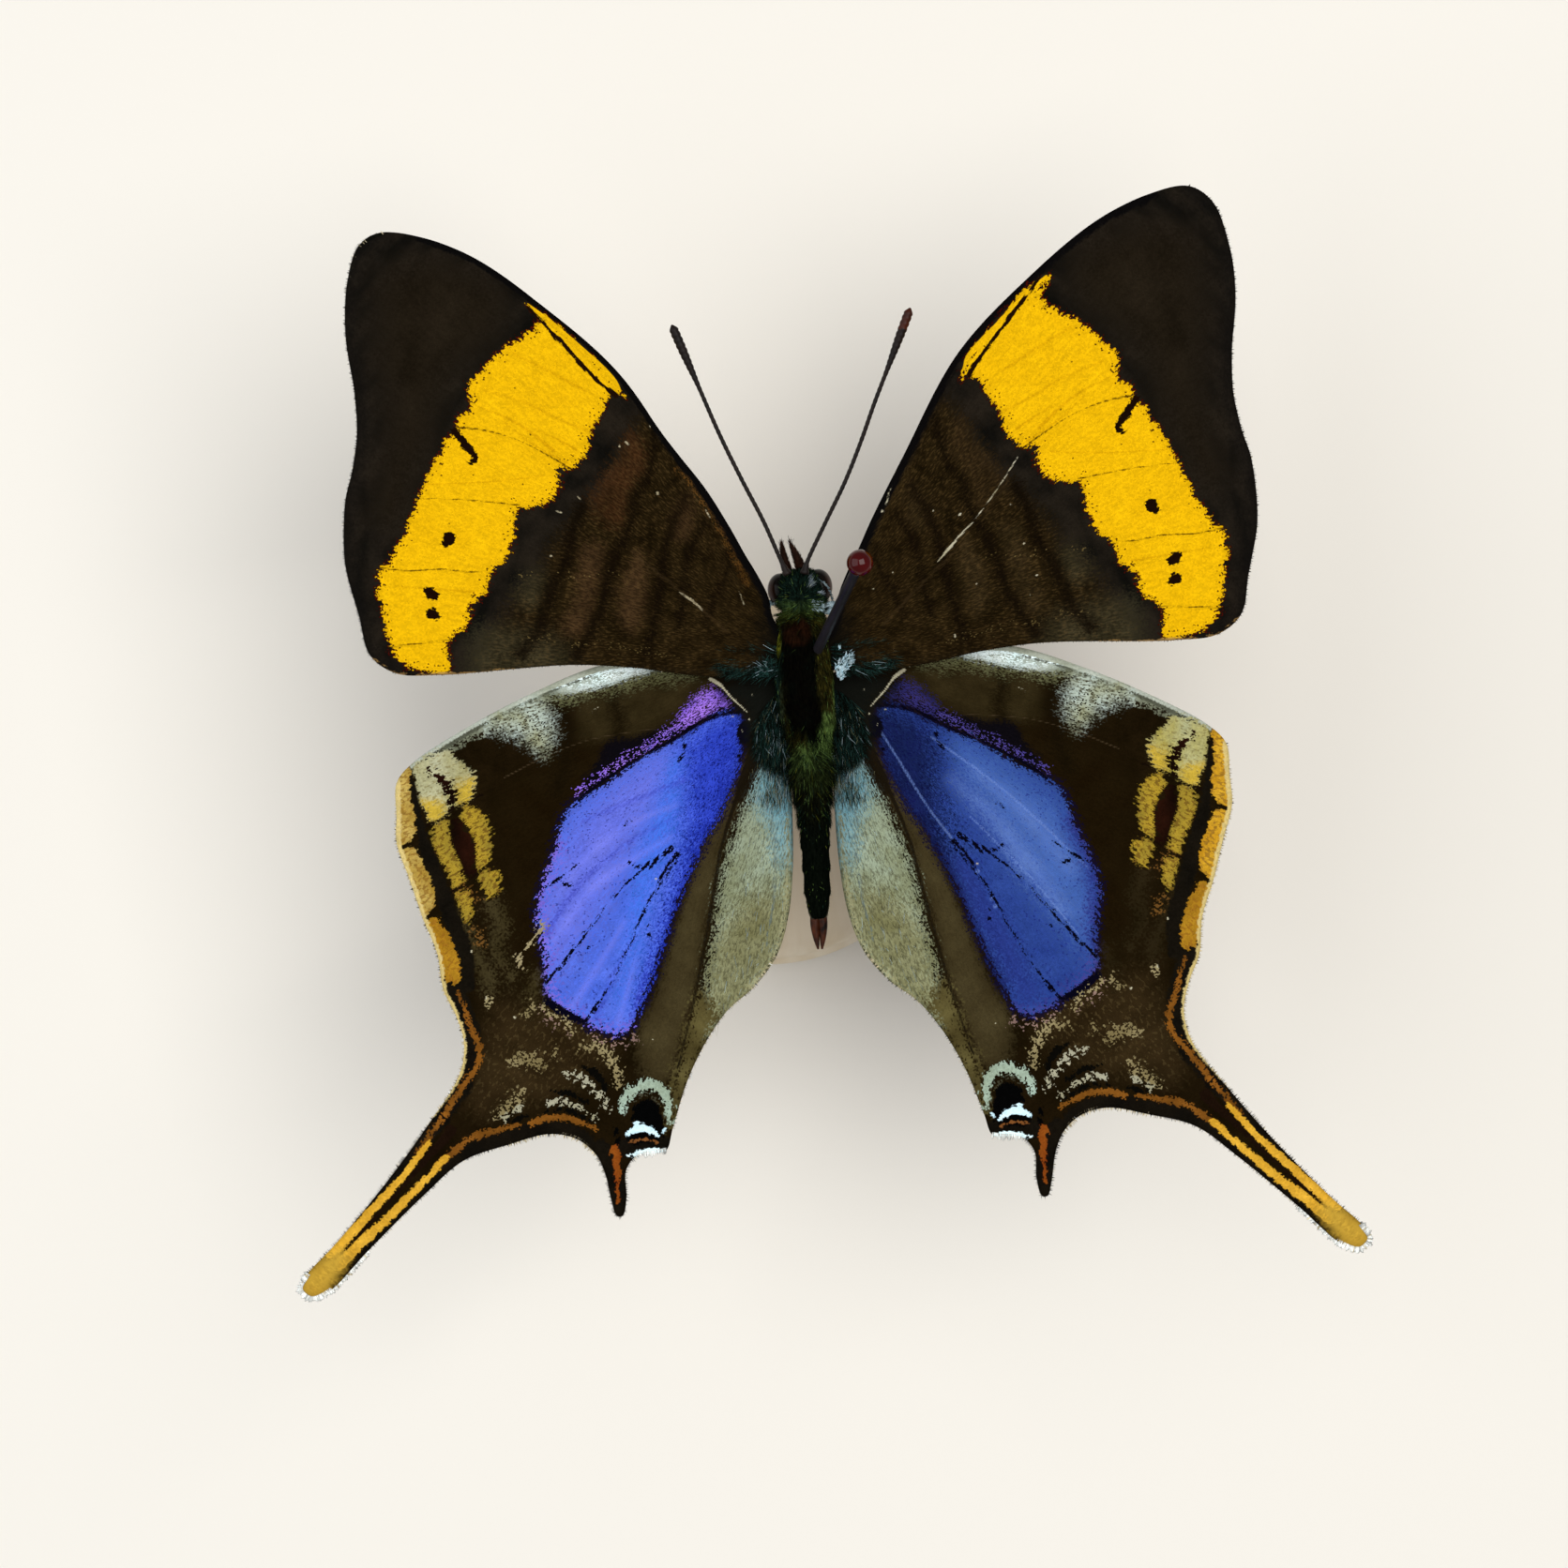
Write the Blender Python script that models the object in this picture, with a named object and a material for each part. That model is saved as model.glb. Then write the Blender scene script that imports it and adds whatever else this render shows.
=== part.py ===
"""A pinned corinna daggerwing butterfly, wings spread, on a small round base, life size.

+X is to the viewer's right as the butterfly is seen from above, +Y points the way the head faces, +Z is up.
The origin is on the table under the middle of the wing spread.
Sizes are in millimetres and are turned into metres where the meshes are made.
Places on the body are measured from the middle of the thorax, where the forewings grow.
"""

import math

import bpy
from mathutils import Matrix, Vector
from mathutils.geometry import delaunay_2d_cdt

MM = 0.001
GAP = 0.3                     # air between pieces that meet
THIN = 0.5                    # thinnest that a wing or a feeler is made

# The thorax reference point in the frame of the part
THORAX_Y = 5.0
BODY_Z = 25.0
WING_Z = 25.9                 # middle of the forewing membrane at its root
HINDWING_DROP = 1.35          # the hindwing lies this much under the forewing
DIHEDRAL = math.radians(3.5)  # how far each wing rises outwards

# Wing outlines of the right side, as (outwards, forwards) from the thorax reference
FOREWING_COSTA = [(1.2, 0.6), (2.5, 2.4), (2.9, 4.2), (3.8, 6.4), (5.6, 9.8), (8.8, 15.2), (12.8, 19.1), (16.5, 21.9), (19.4, 23.2)]
FOREWING_APEX = [(21.5, 23.5), (22.7, 22.6), (23.4, 20.5)]
FOREWING_TERMEN = [(23.65, 17.8), (23.3, 14.6), (23.25, 12.5), (23.6, 10.4), (24.05, 8.7), (24.2, 5.6), (23.6, 2.7)]
FOREWING_REAR = [(23.1, 0.6), (21.8, -0.4), (19.5, -0.6), (12.5, -0.4), (9.2, -0.7), (6.0, -1.25), (3.4, -1.4), (1.0, -1.1)]

HINDWING_COSTA = [(1.0, -1.7), (4.0, -1.0), (7.5, -0.3), (11.0, -0.45), (14.7, -1.75), (18.5, -3.55), (21.2, -5.15)]
HINDWING_TERMEN = [(22.15, -6.2), (22.25, -8.0), (22.3, -9.4), (21.75, -11.3), (21.1, -13.5), (20.45, -15.4), (20.2, -17.35),
                   (19.6, -18.8), (19.25, -20.3), (19.6, -22.0)]
LONG_TAIL_OUTER = [(21.5, -24.7), (24.0, -27.8), (26.7, -30.75)]
LONG_TAIL_TIP = [(28.2, -32.2), (28.65, -33.0), (28.1, -33.55), (27.1, -33.2)]
LONG_TAIL_INNER = [(24.9, -31.1), (21.7, -28.2), (19.6, -26.55)]
TAIL_BAY = [(17.1, -25.8), (15.0, -25.35), (13.5, -25.7), (12.5, -26.6), (12.05, -27.7)]
SHORT_TAIL = [(11.8, -29.1), (11.55, -29.95), (11.25, -29.95), (11.0, -29.0), (10.95, -27.5)]
TORNUS = [(10.3, -26.7), (9.4, -26.65), (8.75, -26.55)]
INNER_MARGIN = [(8.35, -25.4), (7.5, -23.0), (6.4, -20.9), (5.1, -19.2), (3.6, -18.0), (2.4, -16.4), (1.8, -14.4),
                (1.55, -12.0), (1.5, -9.5), (1.5, -7.0), (1.6, -6.0), (0.9, -5.0)]

# Main veins of the right wings, from the root outwards
FOREWING_VEINS = {
    "radius": [(2.2, 1.2), (5.0, 6.4), (7.4, 10.6), (9.8, 14.3), (13.7, 18.7), (17.2, 21.4)],
    "cubitus": [(2.4, 0.3), (5.7, 2.6), (7.4, 4.1), (9.4, 6.2), (10.8, 7.8), (12.6, 10.2), (17.6, 12.5), (22.5, 13.4)],
    "media_1": [(8.6, 12.4), (10.6, 13.7), (14.7, 16.2), (19.0, 18.1), (22.8, 19.2)],
    "media_2": [(9.0, 11.2), (11.4, 12.2), (16.7, 14.6), (20.3, 15.8), (22.7, 16.2)],
    "cubital_1": [(9.7, 6.6), (11.9, 7.6), (14.6, 8.3), (19.9, 8.9), (23.3, 9.0)],
    "cubital_2": [(7.1, 3.8), (11.0, 4.5), (16.5, 4.8), (21.8, 5.2), (23.5, 5.3)],
    "anal": [(2.6, -0.5), (6.0, 0.0), (9.9, 0.45), (14.5, 0.85), (19.2, 1.2), (22.4, 1.1)],
}
HINDWING_VEINS = {
    "subcosta": [(3.2, -2.0), (7.5, -1.5), (12.5, -2.3), (17.0, -4.1), (20.9, -6.2)],
    "radial": [(2.8, -2.9), (7.9, -4.0), (13.5, -5.1), (17.4, -6.8), (21.6, -9.2)],
    "media_1": [(7.4, -4.6), (13.5, -8.4), (16.8, -10.6), (20.5, -13.2)],
    "media_2": [(4.8, -5.4), (8.6, -7.9), (13.4, -11.7), (16.7, -14.5), (19.6, -17.0)],
    "media_3": [(2.8, -4.0), (5.2, -7.2), (7.7, -10.2), (10.5, -12.6), (12.7, -14.9), (14.9, -17.8), (17.4, -21.3),
                (20.8, -25.9), (23.8, -29.1), (27.0, -32.2)],
    "cubital_1": [(7.9, -11.4), (9.5, -14.4), (10.7, -16.7), (12.4, -19.3), (14.3, -22.3), (15.9, -24.9)],
    "cubital_2": [(2.6, -5.0), (4.7, -8.5), (6.3, -11.1), (7.4, -13.6), (8.4, -16.6), (9.5, -19.2), (10.7, -21.7),
                  (11.3, -24.4), (11.35, -28.9)],
    "anal": [(2.4, -5.9), (4.0, -8.6), (5.0, -10.9), (5.8, -13.7), (6.6, -17.9), (7.4, -21.0), (8.3, -23.6)],
}
VEIN_HALF_WIDTH = 0.34
VEIN_RISE = 0.24              # height of a vein at its root
VEIN_TAPER = 0.55             # share of width and height lost by the time it reaches the margin
OUTLINE_STEP = 0.85
VEIN_STEP = 1.5
FIELD_STEP = 2.3              # spacing of the points between the veins
FIELD_CLEAR = 0.75

# Body, each station as (forwards, height above the body's middle line, half width, half height)
THORAX = [(0.5, 0.45, 1.1, 1.25), (0.2, 0.45, 1.4, 1.65), (-0.4, 0.35, 1.72, 2.0), (-1.4, 0.2, 1.85, 2.2),
          (-2.6, 0.1, 1.88, 2.2), (-3.7, 0.0, 1.72, 2.0), (-4.6, -0.1, 1.42, 1.65), (-5.2, -0.2, 1.15, 1.3),
          (-5.5, -0.25, 0.95, 1.05)]
PROTHORAX = [(1.6, 0.35, 0.8, 0.8), (1.45, 0.38, 1.02, 1.02), (1.15, 0.42, 1.15, 1.2), (0.8, 0.45, 1.1, 1.25)]
ABDOMEN_START = -5.8
ABDOMEN_SEGMENTS = 7
ABDOMEN_LENGTH = 8.7
ABDOMEN_DROOP = 0.55
ABDOMEN_FULLEST = 1.18         # half height where it is thickest
RINGS_PER_SEGMENT = 3
SEGMENT_PINCH = 0.06
HEAD = [(2.4, 0.25, 0.45, 0.45), (2.25, 0.25, 0.75, 0.8), (1.9, 0.2, 1.0, 1.15), (1.2, 0.15, 1.12, 1.32),
        (0.6, 0.2, 1.05, 1.2), (0.25, 0.3, 0.85, 0.95), (0.1, 0.35, 0.7, 0.75)]
NECK_Y = 1.8                  # the head's own lengths run forwards from here
HEAD_YAW = math.radians(12)   # the head is turned to the butterfly's left
EYE_AT = (1.16, 1.15, 0.35)
EYE_RADII = (0.6, 0.92, 0.98)
BODY_SIDES = 20

ANTENNA_LEFT = [(-0.95, 4.5), (-1.93, 6.66), (-2.98, 8.9), (-4.0, 11.2), (-5.05, 13.9), (-6.25, 17.0)]
ANTENNA_RIGHT = [(0.12, 4.45), (1.22, 6.4), (2.45, 8.55), (3.34, 10.5), (4.2, 12.6), (4.95, 14.3), (6.25, 17.3)]
ANTENNA_BASE_Z = 26.45
ANTENNA_TIP_Z = 29.2
ANTENNA_RADIUS = 0.25
CLUB_RADIUS = 0.34
CLUB_SHARE = 0.25             # of the antenna's length
PALP = [(0.4, 2.2, -0.15, 0.36), (0.36, 2.8, 0.0, 0.34), (0.28, 3.4, 0.15, 0.25), (0.22, 3.9, 0.3, 0.12)]

# Leg joints as (outwards, forwards, height above the table, radius), from the body to the foot
FORELEG = [(0.55, 0.75, 22.9, 0.26), (0.95, 1.6, 22.0, 0.26), (0.8, 0.4, 21.2, 0.25), (0.7, 1.7, 20.6, 0.22)]
MIDLEG = [(1.0, -0.9, 22.7, 0.3), (2.5, 0.9, 21.0, 0.28), (1.8, -2.3, 19.6, 0.25), (1.6, 0.3, 18.7, 0.23)]
HINDLEG = [(0.95, -3.3, 22.6, 0.3), (2.1, -6.2, 21.4, 0.28), (2.4, -3.6, 20.1, 0.25), (1.7, -7.2, 19.3, 0.23)]
PROBOSCIS_COIL = (0.32, 0.82)  # inner and outer radius of the coil's middle line
PROBOSCIS_TURNS = 1.05
PROBOSCIS_RADIUS = 0.22

PIN_LENGTH = 38.0
PIN_OVER_THORAX = 9.5
PIN_RADIUS = 0.275
PIN_ENTRY = (0.72, 0.0, 27.3)
PIN_LEAN = (2.1, 3.7, 8.5)    # the way from the pin's point to its head
PIN_HEAD_RADII = (0.62, 0.68)
PIN_POINT = 1.2
HOLE_RADIUS = PIN_RADIUS + GAP

BASE_CENTRE = (-2.5, -7.0)
BASE_RADIUS = 11.0
BASE_THICK = 5.0
BASE_BEVEL = 0.6


def clear_scene():
    for obj in list(bpy.data.objects):
        bpy.data.objects.remove(obj)


def material(name, colour, roughness, metallic=0.0):
    """A Principled material, made once for each name."""
    found = bpy.data.materials.get(name)
    if found:
        return found
    made = bpy.data.materials.new(name)
    made.use_nodes = True
    shader = made.node_tree.nodes["Principled BSDF"]
    shader.inputs["Base Color"].default_value = (*colour, 1)
    shader.inputs["Roughness"].default_value = roughness
    shader.inputs["Metallic"].default_value = metallic
    return made


def placed(points):
    """Millimetre points from the thorax reference as metre points in the frame of the part."""
    return [(x * MM, (y + THORAX_Y) * MM, z * MM) for x, y, z in points]


def add_object(name, points, faces, finish=None):
    mesh = bpy.data.meshes.new(name)
    mesh.from_pydata(placed(points), [], faces)
    mesh.update()
    obj = bpy.data.objects.new(name, mesh)
    bpy.context.scene.collection.objects.link(obj)
    if finish:
        mesh.materials.append(finish)
    return obj


def apply_boolean(obj, other, operation):
    """Applies a Boolean; the manifold solver stands in where the exact one gives nothing."""
    cut = obj.modifiers.new("cut", "BOOLEAN")
    cut.operation = operation
    cut.object = other
    for solver in ("EXACT", "MANIFOLD"):
        cut.solver = solver
        graph = bpy.context.evaluated_depsgraph_get()
        made = bpy.data.meshes.new_from_object(obj.evaluated_get(graph))
        if made.polygons:
            break
    obj.modifiers.remove(cut)
    obj.data = made
    bpy.data.objects.remove(other)


def union_of(name, pieces, finish):
    """One closed node from several closed pieces that overlap."""
    joined = pieces[0]
    joined.name = name
    for piece in pieces[1:]:
        apply_boolean(joined, piece, "UNION")
    joined.data.materials.clear()
    joined.data.materials.append(finish)
    return joined


def smooth_line(points, step, closed=False):
    """Evenly spaced points on a centripetal curve through the given ones."""
    count = len(points)
    dense = []
    spans = count if closed else count - 1
    for i in range(spans):
        p1, p2 = Vector(points[i]), Vector(points[(i + 1) % count])
        p0 = Vector(points[(i - 1) % count]) if closed or i else p1 + (p1 - p2)
        p3 = Vector(points[(i + 2) % count]) if closed or i + 2 < count else p2 + (p2 - p1)
        t1 = (p1 - p0).length ** 0.5
        t2 = t1 + (p2 - p1).length ** 0.5
        t3 = t2 + (p3 - p2).length ** 0.5
        for k in range(24):
            t = t1 + (t2 - t1) * k / 24
            a1 = p0 * ((t1 - t) / t1) + p1 * (t / t1)
            a2 = p1 * ((t2 - t) / (t2 - t1)) + p2 * ((t - t1) / (t2 - t1))
            a3 = p2 * ((t3 - t) / (t3 - t2)) + p3 * ((t - t2) / (t3 - t2))
            b1 = a1 * ((t2 - t) / t2) + a2 * (t / t2)
            b2 = a2 * ((t3 - t) / (t3 - t1)) + a3 * ((t - t1) / (t3 - t1))
            dense.append(b1 * ((t2 - t) / (t2 - t1)) + b2 * ((t - t1) / (t2 - t1)))
    dense.append(Vector(points[0] if closed else points[-1]))
    lengths = [0.0]
    for a, b in zip(dense, dense[1:]):
        lengths.append(lengths[-1] + (b - a).length)
    pieces = max(2, round(lengths[-1] / step))
    made, at = [], 0
    for k in range(pieces if closed else pieces + 1):
        goal = lengths[-1] * k / pieces
        while at < len(lengths) - 2 and lengths[at + 1] < goal:
            at += 1
        share = (goal - lengths[at]) / max(lengths[at + 1] - lengths[at], 1e-9)
        made.append(dense[at].lerp(dense[at + 1], min(1.0, max(0.0, share))))
    return made


def forewing_height(x, y):
    """Middle of the forewing's membrane: it rises outwards, is arched, and droops a little at the tip."""
    along = (x + y) / math.sqrt(2)
    across = (x - y) / math.sqrt(2)
    return WING_Z + x * math.tan(DIHEDRAL) - 0.0011 * along ** 2 - 0.0035 * max(0.0, abs(across - 3) - 2) ** 2


def hindwing_height(x, y):
    """Middle of the hindwing's membrane: its inner panel bends down beside the abdomen."""
    along = math.hypot(x, y)
    inner = max(0.0, 5.5 - x)
    reach = min(1.0, max(0.0, (-4.0 - y) / 4))
    return (WING_Z - HINDWING_DROP + x * math.tan(DIHEDRAL) - 0.0008 * along ** 2
            - 0.045 * reach * inner ** 2 + 0.25 * math.sin(max(0.0, -y - 18) / 15 * math.pi / 2))


def inside(point, outline):
    x, y = point
    found = False
    for a, b in zip(outline, outline[1:] + outline[:1]):
        if (a.y > y) != (b.y > y) and x < a.x + (y - a.y) / (b.y - a.y) * (b.x - a.x):
            found = not found
    return found


class Vein:
    """A vein as a ridge: a middle line with a width and a height that shrink outwards."""

    def __init__(self, points):
        self.line = smooth_line(points, VEIN_STEP)

    def share(self, i):
        return 1 - VEIN_TAPER * i / (len(self.line) - 1)

    def side(self, sign):
        made = []
        for i, p in enumerate(self.line):
            ahead = self.line[min(i + 1, len(self.line) - 1)] - self.line[max(i - 1, 0)]
            across = Vector((-ahead.y, ahead.x)).normalized()
            made.append(p + across * (sign * VEIN_HALF_WIDTH * self.share(i)))
        return made

    def rise(self, p):
        best = 0.0
        for i, (a, b) in enumerate(zip(self.line, self.line[1:])):
            d = b - a
            t = min(1.0, max(0.0, (p - a).dot(d) / d.length_squared))
            share = self.share(i + t)
            off = (p - a - d * t).length / (VEIN_HALF_WIDTH * share)
            best = max(best, VEIN_RISE * share * (1 - off))
        return best


def wing_object(name, outline_points, vein_points, height, side, finish):
    """A membrane of even thickness with its veins raised in both faces, which are split alike."""
    outline = smooth_line(outline_points, OUTLINE_STEP, closed=True)
    veins = [Vein(points) for points in vein_points.values()]
    verts = list(outline)
    edges = [(i, (i + 1) % len(outline)) for i in range(len(outline))]
    for vein in veins:
        for line in (vein.line, vein.side(1), vein.side(-1)):
            first = len(verts)
            verts.extend(line)
            edges.extend((first + i, first + i + 1) for i in range(len(line) - 1))
    fixed = list(verts)
    columns, rows = range(0, 30), range(-36, 26)
    for row in rows:
        for column in columns:
            p = Vector((column * FIELD_STEP + (row % 2) * FIELD_STEP / 2, row * FIELD_STEP * 0.866))
            if inside(p, outline) and min((p - q).length for q in fixed) > FIELD_CLEAR:
                verts.append(p)
    flat, _, faces, *_ = delaunay_2d_cdt(verts, edges, [], 1, 0.02)
    half = THIN / 2
    top, bottom = [], []
    for p in flat:
        middle = height(p.x, p.y)
        rise = max(vein.rise(p) for vein in veins)
        top.append((p.x * side, p.y, middle + half + rise))
        bottom.append((p.x * side, p.y, middle - half - rise / 2))
    count = len(flat)
    upper = [tuple(f) for f in faces]
    used = {}
    for f in upper:
        for a, b in zip(f, f[1:] + f[:1]):
            used[(a, b)] = True
    rim = [edge for edge in used if (edge[1], edge[0]) not in used]
    lower = [tuple(count + i for i in reversed(f)) for f in upper]
    walls = [(b, a, count + a, count + b) for a, b in rim]
    made = upper + lower
    for w in walls:
        made.extend([(w[0], w[1], w[2]), (w[0], w[2], w[3])])
    if side < 0:
        made = [tuple(reversed(f)) for f in made]
    return add_object(name, top + bottom, made, finish)


def loft(name, stations, finish=None, grow=0.0, sides=BODY_SIDES, turn=0.0, pivot=(0.0, 0.0)):
    """A body of oval rings along Y, each (forwards, height, half width, half height), with domed ends closed."""
    rings = [list(s) for s in stations]
    if grow:
        rings = [[y, z, w + grow, h + grow] for y, z, w, h in rings]
        rings[0][0] += math.copysign(grow, rings[0][0] - rings[-1][0])
        rings[-1][0] -= math.copysign(grow, rings[0][0] - rings[-1][0])
    points, faces = [], []
    for y, z, w, h in rings:
        for k in range(sides):
            angle = 2 * math.pi * k / sides
            points.append((w * math.cos(angle), y, BODY_Z + z + h * math.sin(angle)))
    for i in range(len(rings) - 1):
        for k in range(sides):
            a, b = i * sides + k, i * sides + (k + 1) % sides
            faces.append((a, b, b + sides, a + sides))
    faces.append(tuple(reversed(range(sides))))
    faces.append(tuple(range((len(rings) - 1) * sides, len(rings) * sides)))
    if rings[0][0] < rings[-1][0]:
        faces = [tuple(reversed(f)) for f in faces]
    if turn:
        points = [turned(p, turn, pivot) for p in points]
    return add_object(name, points, faces, finish)


def turned(point, angle, pivot):
    """The point turned about an upright line through pivot, then moved there."""
    x, y, z = point
    c, s = math.cos(angle), math.sin(angle)
    return (c * x - s * y + pivot[0], s * x + c * y + pivot[1], z)


def in_head(x, y, z):
    """A place in the head's own lengths as a place from the thorax reference."""
    return turned((x, y, BODY_Z + z), HEAD_YAW, (0.0, NECK_Y))


def ball(name, centre, radii, finish=None, turn=0.0, sides=16, rings=10):
    """An ellipsoid with its poles up and down."""
    points, faces = [], []
    for i in range(1, rings):
        tilt = math.pi * i / rings
        for k in range(sides):
            angle = 2 * math.pi * k / sides
            x = radii[0] * math.sin(tilt) * math.cos(angle)
            y = radii[1] * math.sin(tilt) * math.sin(angle)
            x, y, z = turned((x, y, radii[2] * math.cos(tilt)), turn, (0, 0))
            points.append((centre[0] + x, centre[1] + y, centre[2] + z))
    points.append((centre[0], centre[1], centre[2] + radii[2]))
    points.append((centre[0], centre[1], centre[2] - radii[2]))
    top, bottom = len(points) - 2, len(points) - 1
    for i in range(rings - 2):
        for k in range(sides):
            a, b = i * sides + k, i * sides + (k + 1) % sides
            faces.append((b, a, a + sides, b + sides))
    last = (rings - 2) * sides
    for k in range(sides):
        faces.append((k, (k + 1) % sides, top))
        faces.append((last + (k + 1) % sides, last + k, bottom))
    return add_object(name, points, faces, finish)


def tube(name, line, radii, finish=None, sides=8):
    """A tapering round rod along a line of points, with flat ends."""
    line = [Vector(p) for p in line]
    points, faces = [], []
    side = None
    for i, p in enumerate(line):
        ahead = (line[min(i + 1, len(line) - 1)] - line[max(i - 1, 0)]).normalized()
        if side is None:
            side = ahead.orthogonal().normalized()
        side = (side - ahead * side.dot(ahead)).normalized()
        other = ahead.cross(side)
        for k in range(sides):
            angle = 2 * math.pi * k / sides
            points.append(tuple(p + (side * math.cos(angle) + other * math.sin(angle)) * radii[i]))
    for i in range(len(line) - 1):
        for k in range(sides):
            a, b = i * sides + k, i * sides + (k + 1) % sides
            faces.append((a, b, b + sides, a + sides))
    faces.append(tuple(reversed(range(sides))))
    faces.append(tuple(range((len(line) - 1) * sides, len(line) * sides)))
    return add_object(name, points, faces, finish)


def make_wings():
    forewing = FOREWING_COSTA + FOREWING_APEX + FOREWING_TERMEN + FOREWING_REAR
    hindwing = (HINDWING_COSTA + HINDWING_TERMEN + LONG_TAIL_OUTER + LONG_TAIL_TIP + LONG_TAIL_INNER + TAIL_BAY
                + SHORT_TAIL + TORNUS + INNER_MARGIN)
    brown = material("forewing_scales", (0.03, 0.02, 0.015), 0.7)
    violet = material("hindwing_scales", (0.09, 0.08, 0.3), 0.6)
    for label, side in (("left", -1), ("right", 1)):
        fore = wing_object(f"forewing_{label}", forewing, FOREWING_VEINS, forewing_height, side, brown)
        hind = wing_object(f"hindwing_{label}", hindwing, HINDWING_VEINS, hindwing_height, side, violet)
        for wing in (fore, hind):
            apply_boolean(wing, loft("room", THORAX, grow=GAP), "DIFFERENCE")
        apply_boolean(fore, loft("room", PROTHORAX, grow=GAP), "DIFFERENCE")


def abdomen_stations():
    """Rings of the abdomen, each segment swelling a little and pinched in where it meets the next."""
    stations = []
    rings = ABDOMEN_SEGMENTS * RINGS_PER_SEGMENT
    for i in range(rings + 1):
        share = i / rings
        waist = 0.22 * max(0.0, 1 - share / 0.18) ** 2
        taper = 0.3 * share + 0.22 * max(0.0, (share - 0.88) / 0.12) ** 2
        half = ABDOMEN_FULLEST * (1.02 - waist - taper)
        pinch = SEGMENT_PINCH if i % RINGS_PER_SEGMENT == 0 and 0 < i < rings else 0.0
        stations.append((ABDOMEN_START - ABDOMEN_LENGTH * share, -0.25 - ABDOMEN_DROOP * share,
                         half * 0.95 - pinch, half - pinch))
    return stations


def make_body():
    dark = material("body_scales", (0.05, 0.055, 0.03), 0.75)
    green = material("collar_hair", (0.12, 0.15, 0.04), 0.8)
    eye_finish = material("eye", (0.1, 0.03, 0.02), 0.2)
    thorax = loft("thorax", THORAX, dark)
    loft("prothorax", PROTHORAX, green)
    abdomen = abdomen_stations()
    loft("abdomen", abdomen, dark, sides=16)
    end_y, end_z = abdomen[-1][0] - GAP, abdomen[-1][1]
    claspers = [(end_y, end_z, 0.56, 0.56), (end_y - 0.4, end_z - 0.03, 0.58, 0.55),
                (end_y - 0.9, end_z - 0.06, 0.5, 0.42), (end_y - 1.35, end_z - 0.1, 0.28, 0.25)]
    loft("claspers", claspers, material("claspers", (0.22, 0.1, 0.04), 0.6), sides=12)
    head = loft("head", HEAD, dark, turn=HEAD_YAW, pivot=(0.0, NECK_Y))
    for label, side in (("left", -1), ("right", 1)):
        centre = in_head(side * EYE_AT[0], EYE_AT[1], EYE_AT[2])
        socket = ball("socket", centre, [r + GAP for r in EYE_RADII], turn=HEAD_YAW)
        apply_boolean(head, socket, "DIFFERENCE")
        ball(f"eye_{label}", centre, EYE_RADII, eye_finish, turn=HEAD_YAW)
    return thorax


def head_room():
    return loft("room", HEAD, grow=GAP, turn=HEAD_YAW, pivot=(0.0, NECK_Y))


def make_feelers():
    black = material("antenna", (0.015, 0.012, 0.012), 0.35)
    brown = material("palp", (0.05, 0.03, 0.02), 0.8)
    for label, points in (("left", ANTENNA_LEFT), ("right", ANTENNA_RIGHT)):
        flat = smooth_line(points, 0.6)
        last = len(flat) - 1
        line, radii = [], []
        for i, p in enumerate(flat):
            share = i / last
            rise = ANTENNA_BASE_Z + (ANTENNA_TIP_Z - ANTENNA_BASE_Z) * share ** 1.1
            line.append((p.x, p.y, rise))
            club = max(0.0, (share - 1 + CLUB_SHARE) / CLUB_SHARE)
            swell = math.sin(min(1.0, club * 1.5) * math.pi / 2)
            blunt = 1.0 if i < last else 0.45
            radii.append((ANTENNA_RADIUS + (CLUB_RADIUS - ANTENNA_RADIUS) * swell) * blunt)
        antenna = tube(f"antenna_{label}", line, radii, black)
        apply_boolean(antenna, head_room(), "DIFFERENCE")
    for label, side in (("left", -1), ("right", 1)):
        line = [in_head(side * x, y, z) for x, y, z, _ in PALP]
        palp = tube(f"palp_{label}", line, [p[3] for p in PALP], brown)
        apply_boolean(palp, head_room(), "DIFFERENCE")
    coil = []
    steps = 22
    for i in range(steps + 1):
        share = i / steps
        angle = math.radians(100) - 2 * math.pi * PROBOSCIS_TURNS * share
        reach = PROBOSCIS_COIL[1] - (PROBOSCIS_COIL[1] - PROBOSCIS_COIL[0]) * share
        coil.append(in_head(0.0, 2.15 + reach * math.cos(angle), -2.2 + reach * math.sin(angle)))
    proboscis = tube("proboscis", coil, [PROBOSCIS_RADIUS] * len(coil), material("proboscis", (0.12, 0.06, 0.03), 0.4))
    apply_boolean(proboscis, head_room(), "DIFFERENCE")


def make_legs():
    finish = material("legs", (0.1, 0.08, 0.06), 0.7)
    for limb, joints in (("foreleg", FORELEG), ("midleg", MIDLEG), ("hindleg", HINDLEG)):
        for label, side in (("left", -1), ("right", 1)):
            pieces = []
            for (x0, y0, z0, r0), (x1, y1, z1, r1) in zip(joints, joints[1:]):
                pieces.append(tube("rod", [(side * x0, y0, z0), (side * x1, y1, z1)], [r0, r1]))
                pieces.append(ball("knee", (side * x1, y1, z1), (r1 * 1.12,) * 3, sides=8, rings=6))
            leg = union_of(f"{limb}_{label}", pieces, finish)
            apply_boolean(leg, loft("room", THORAX, grow=GAP), "DIFFERENCE")


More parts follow.
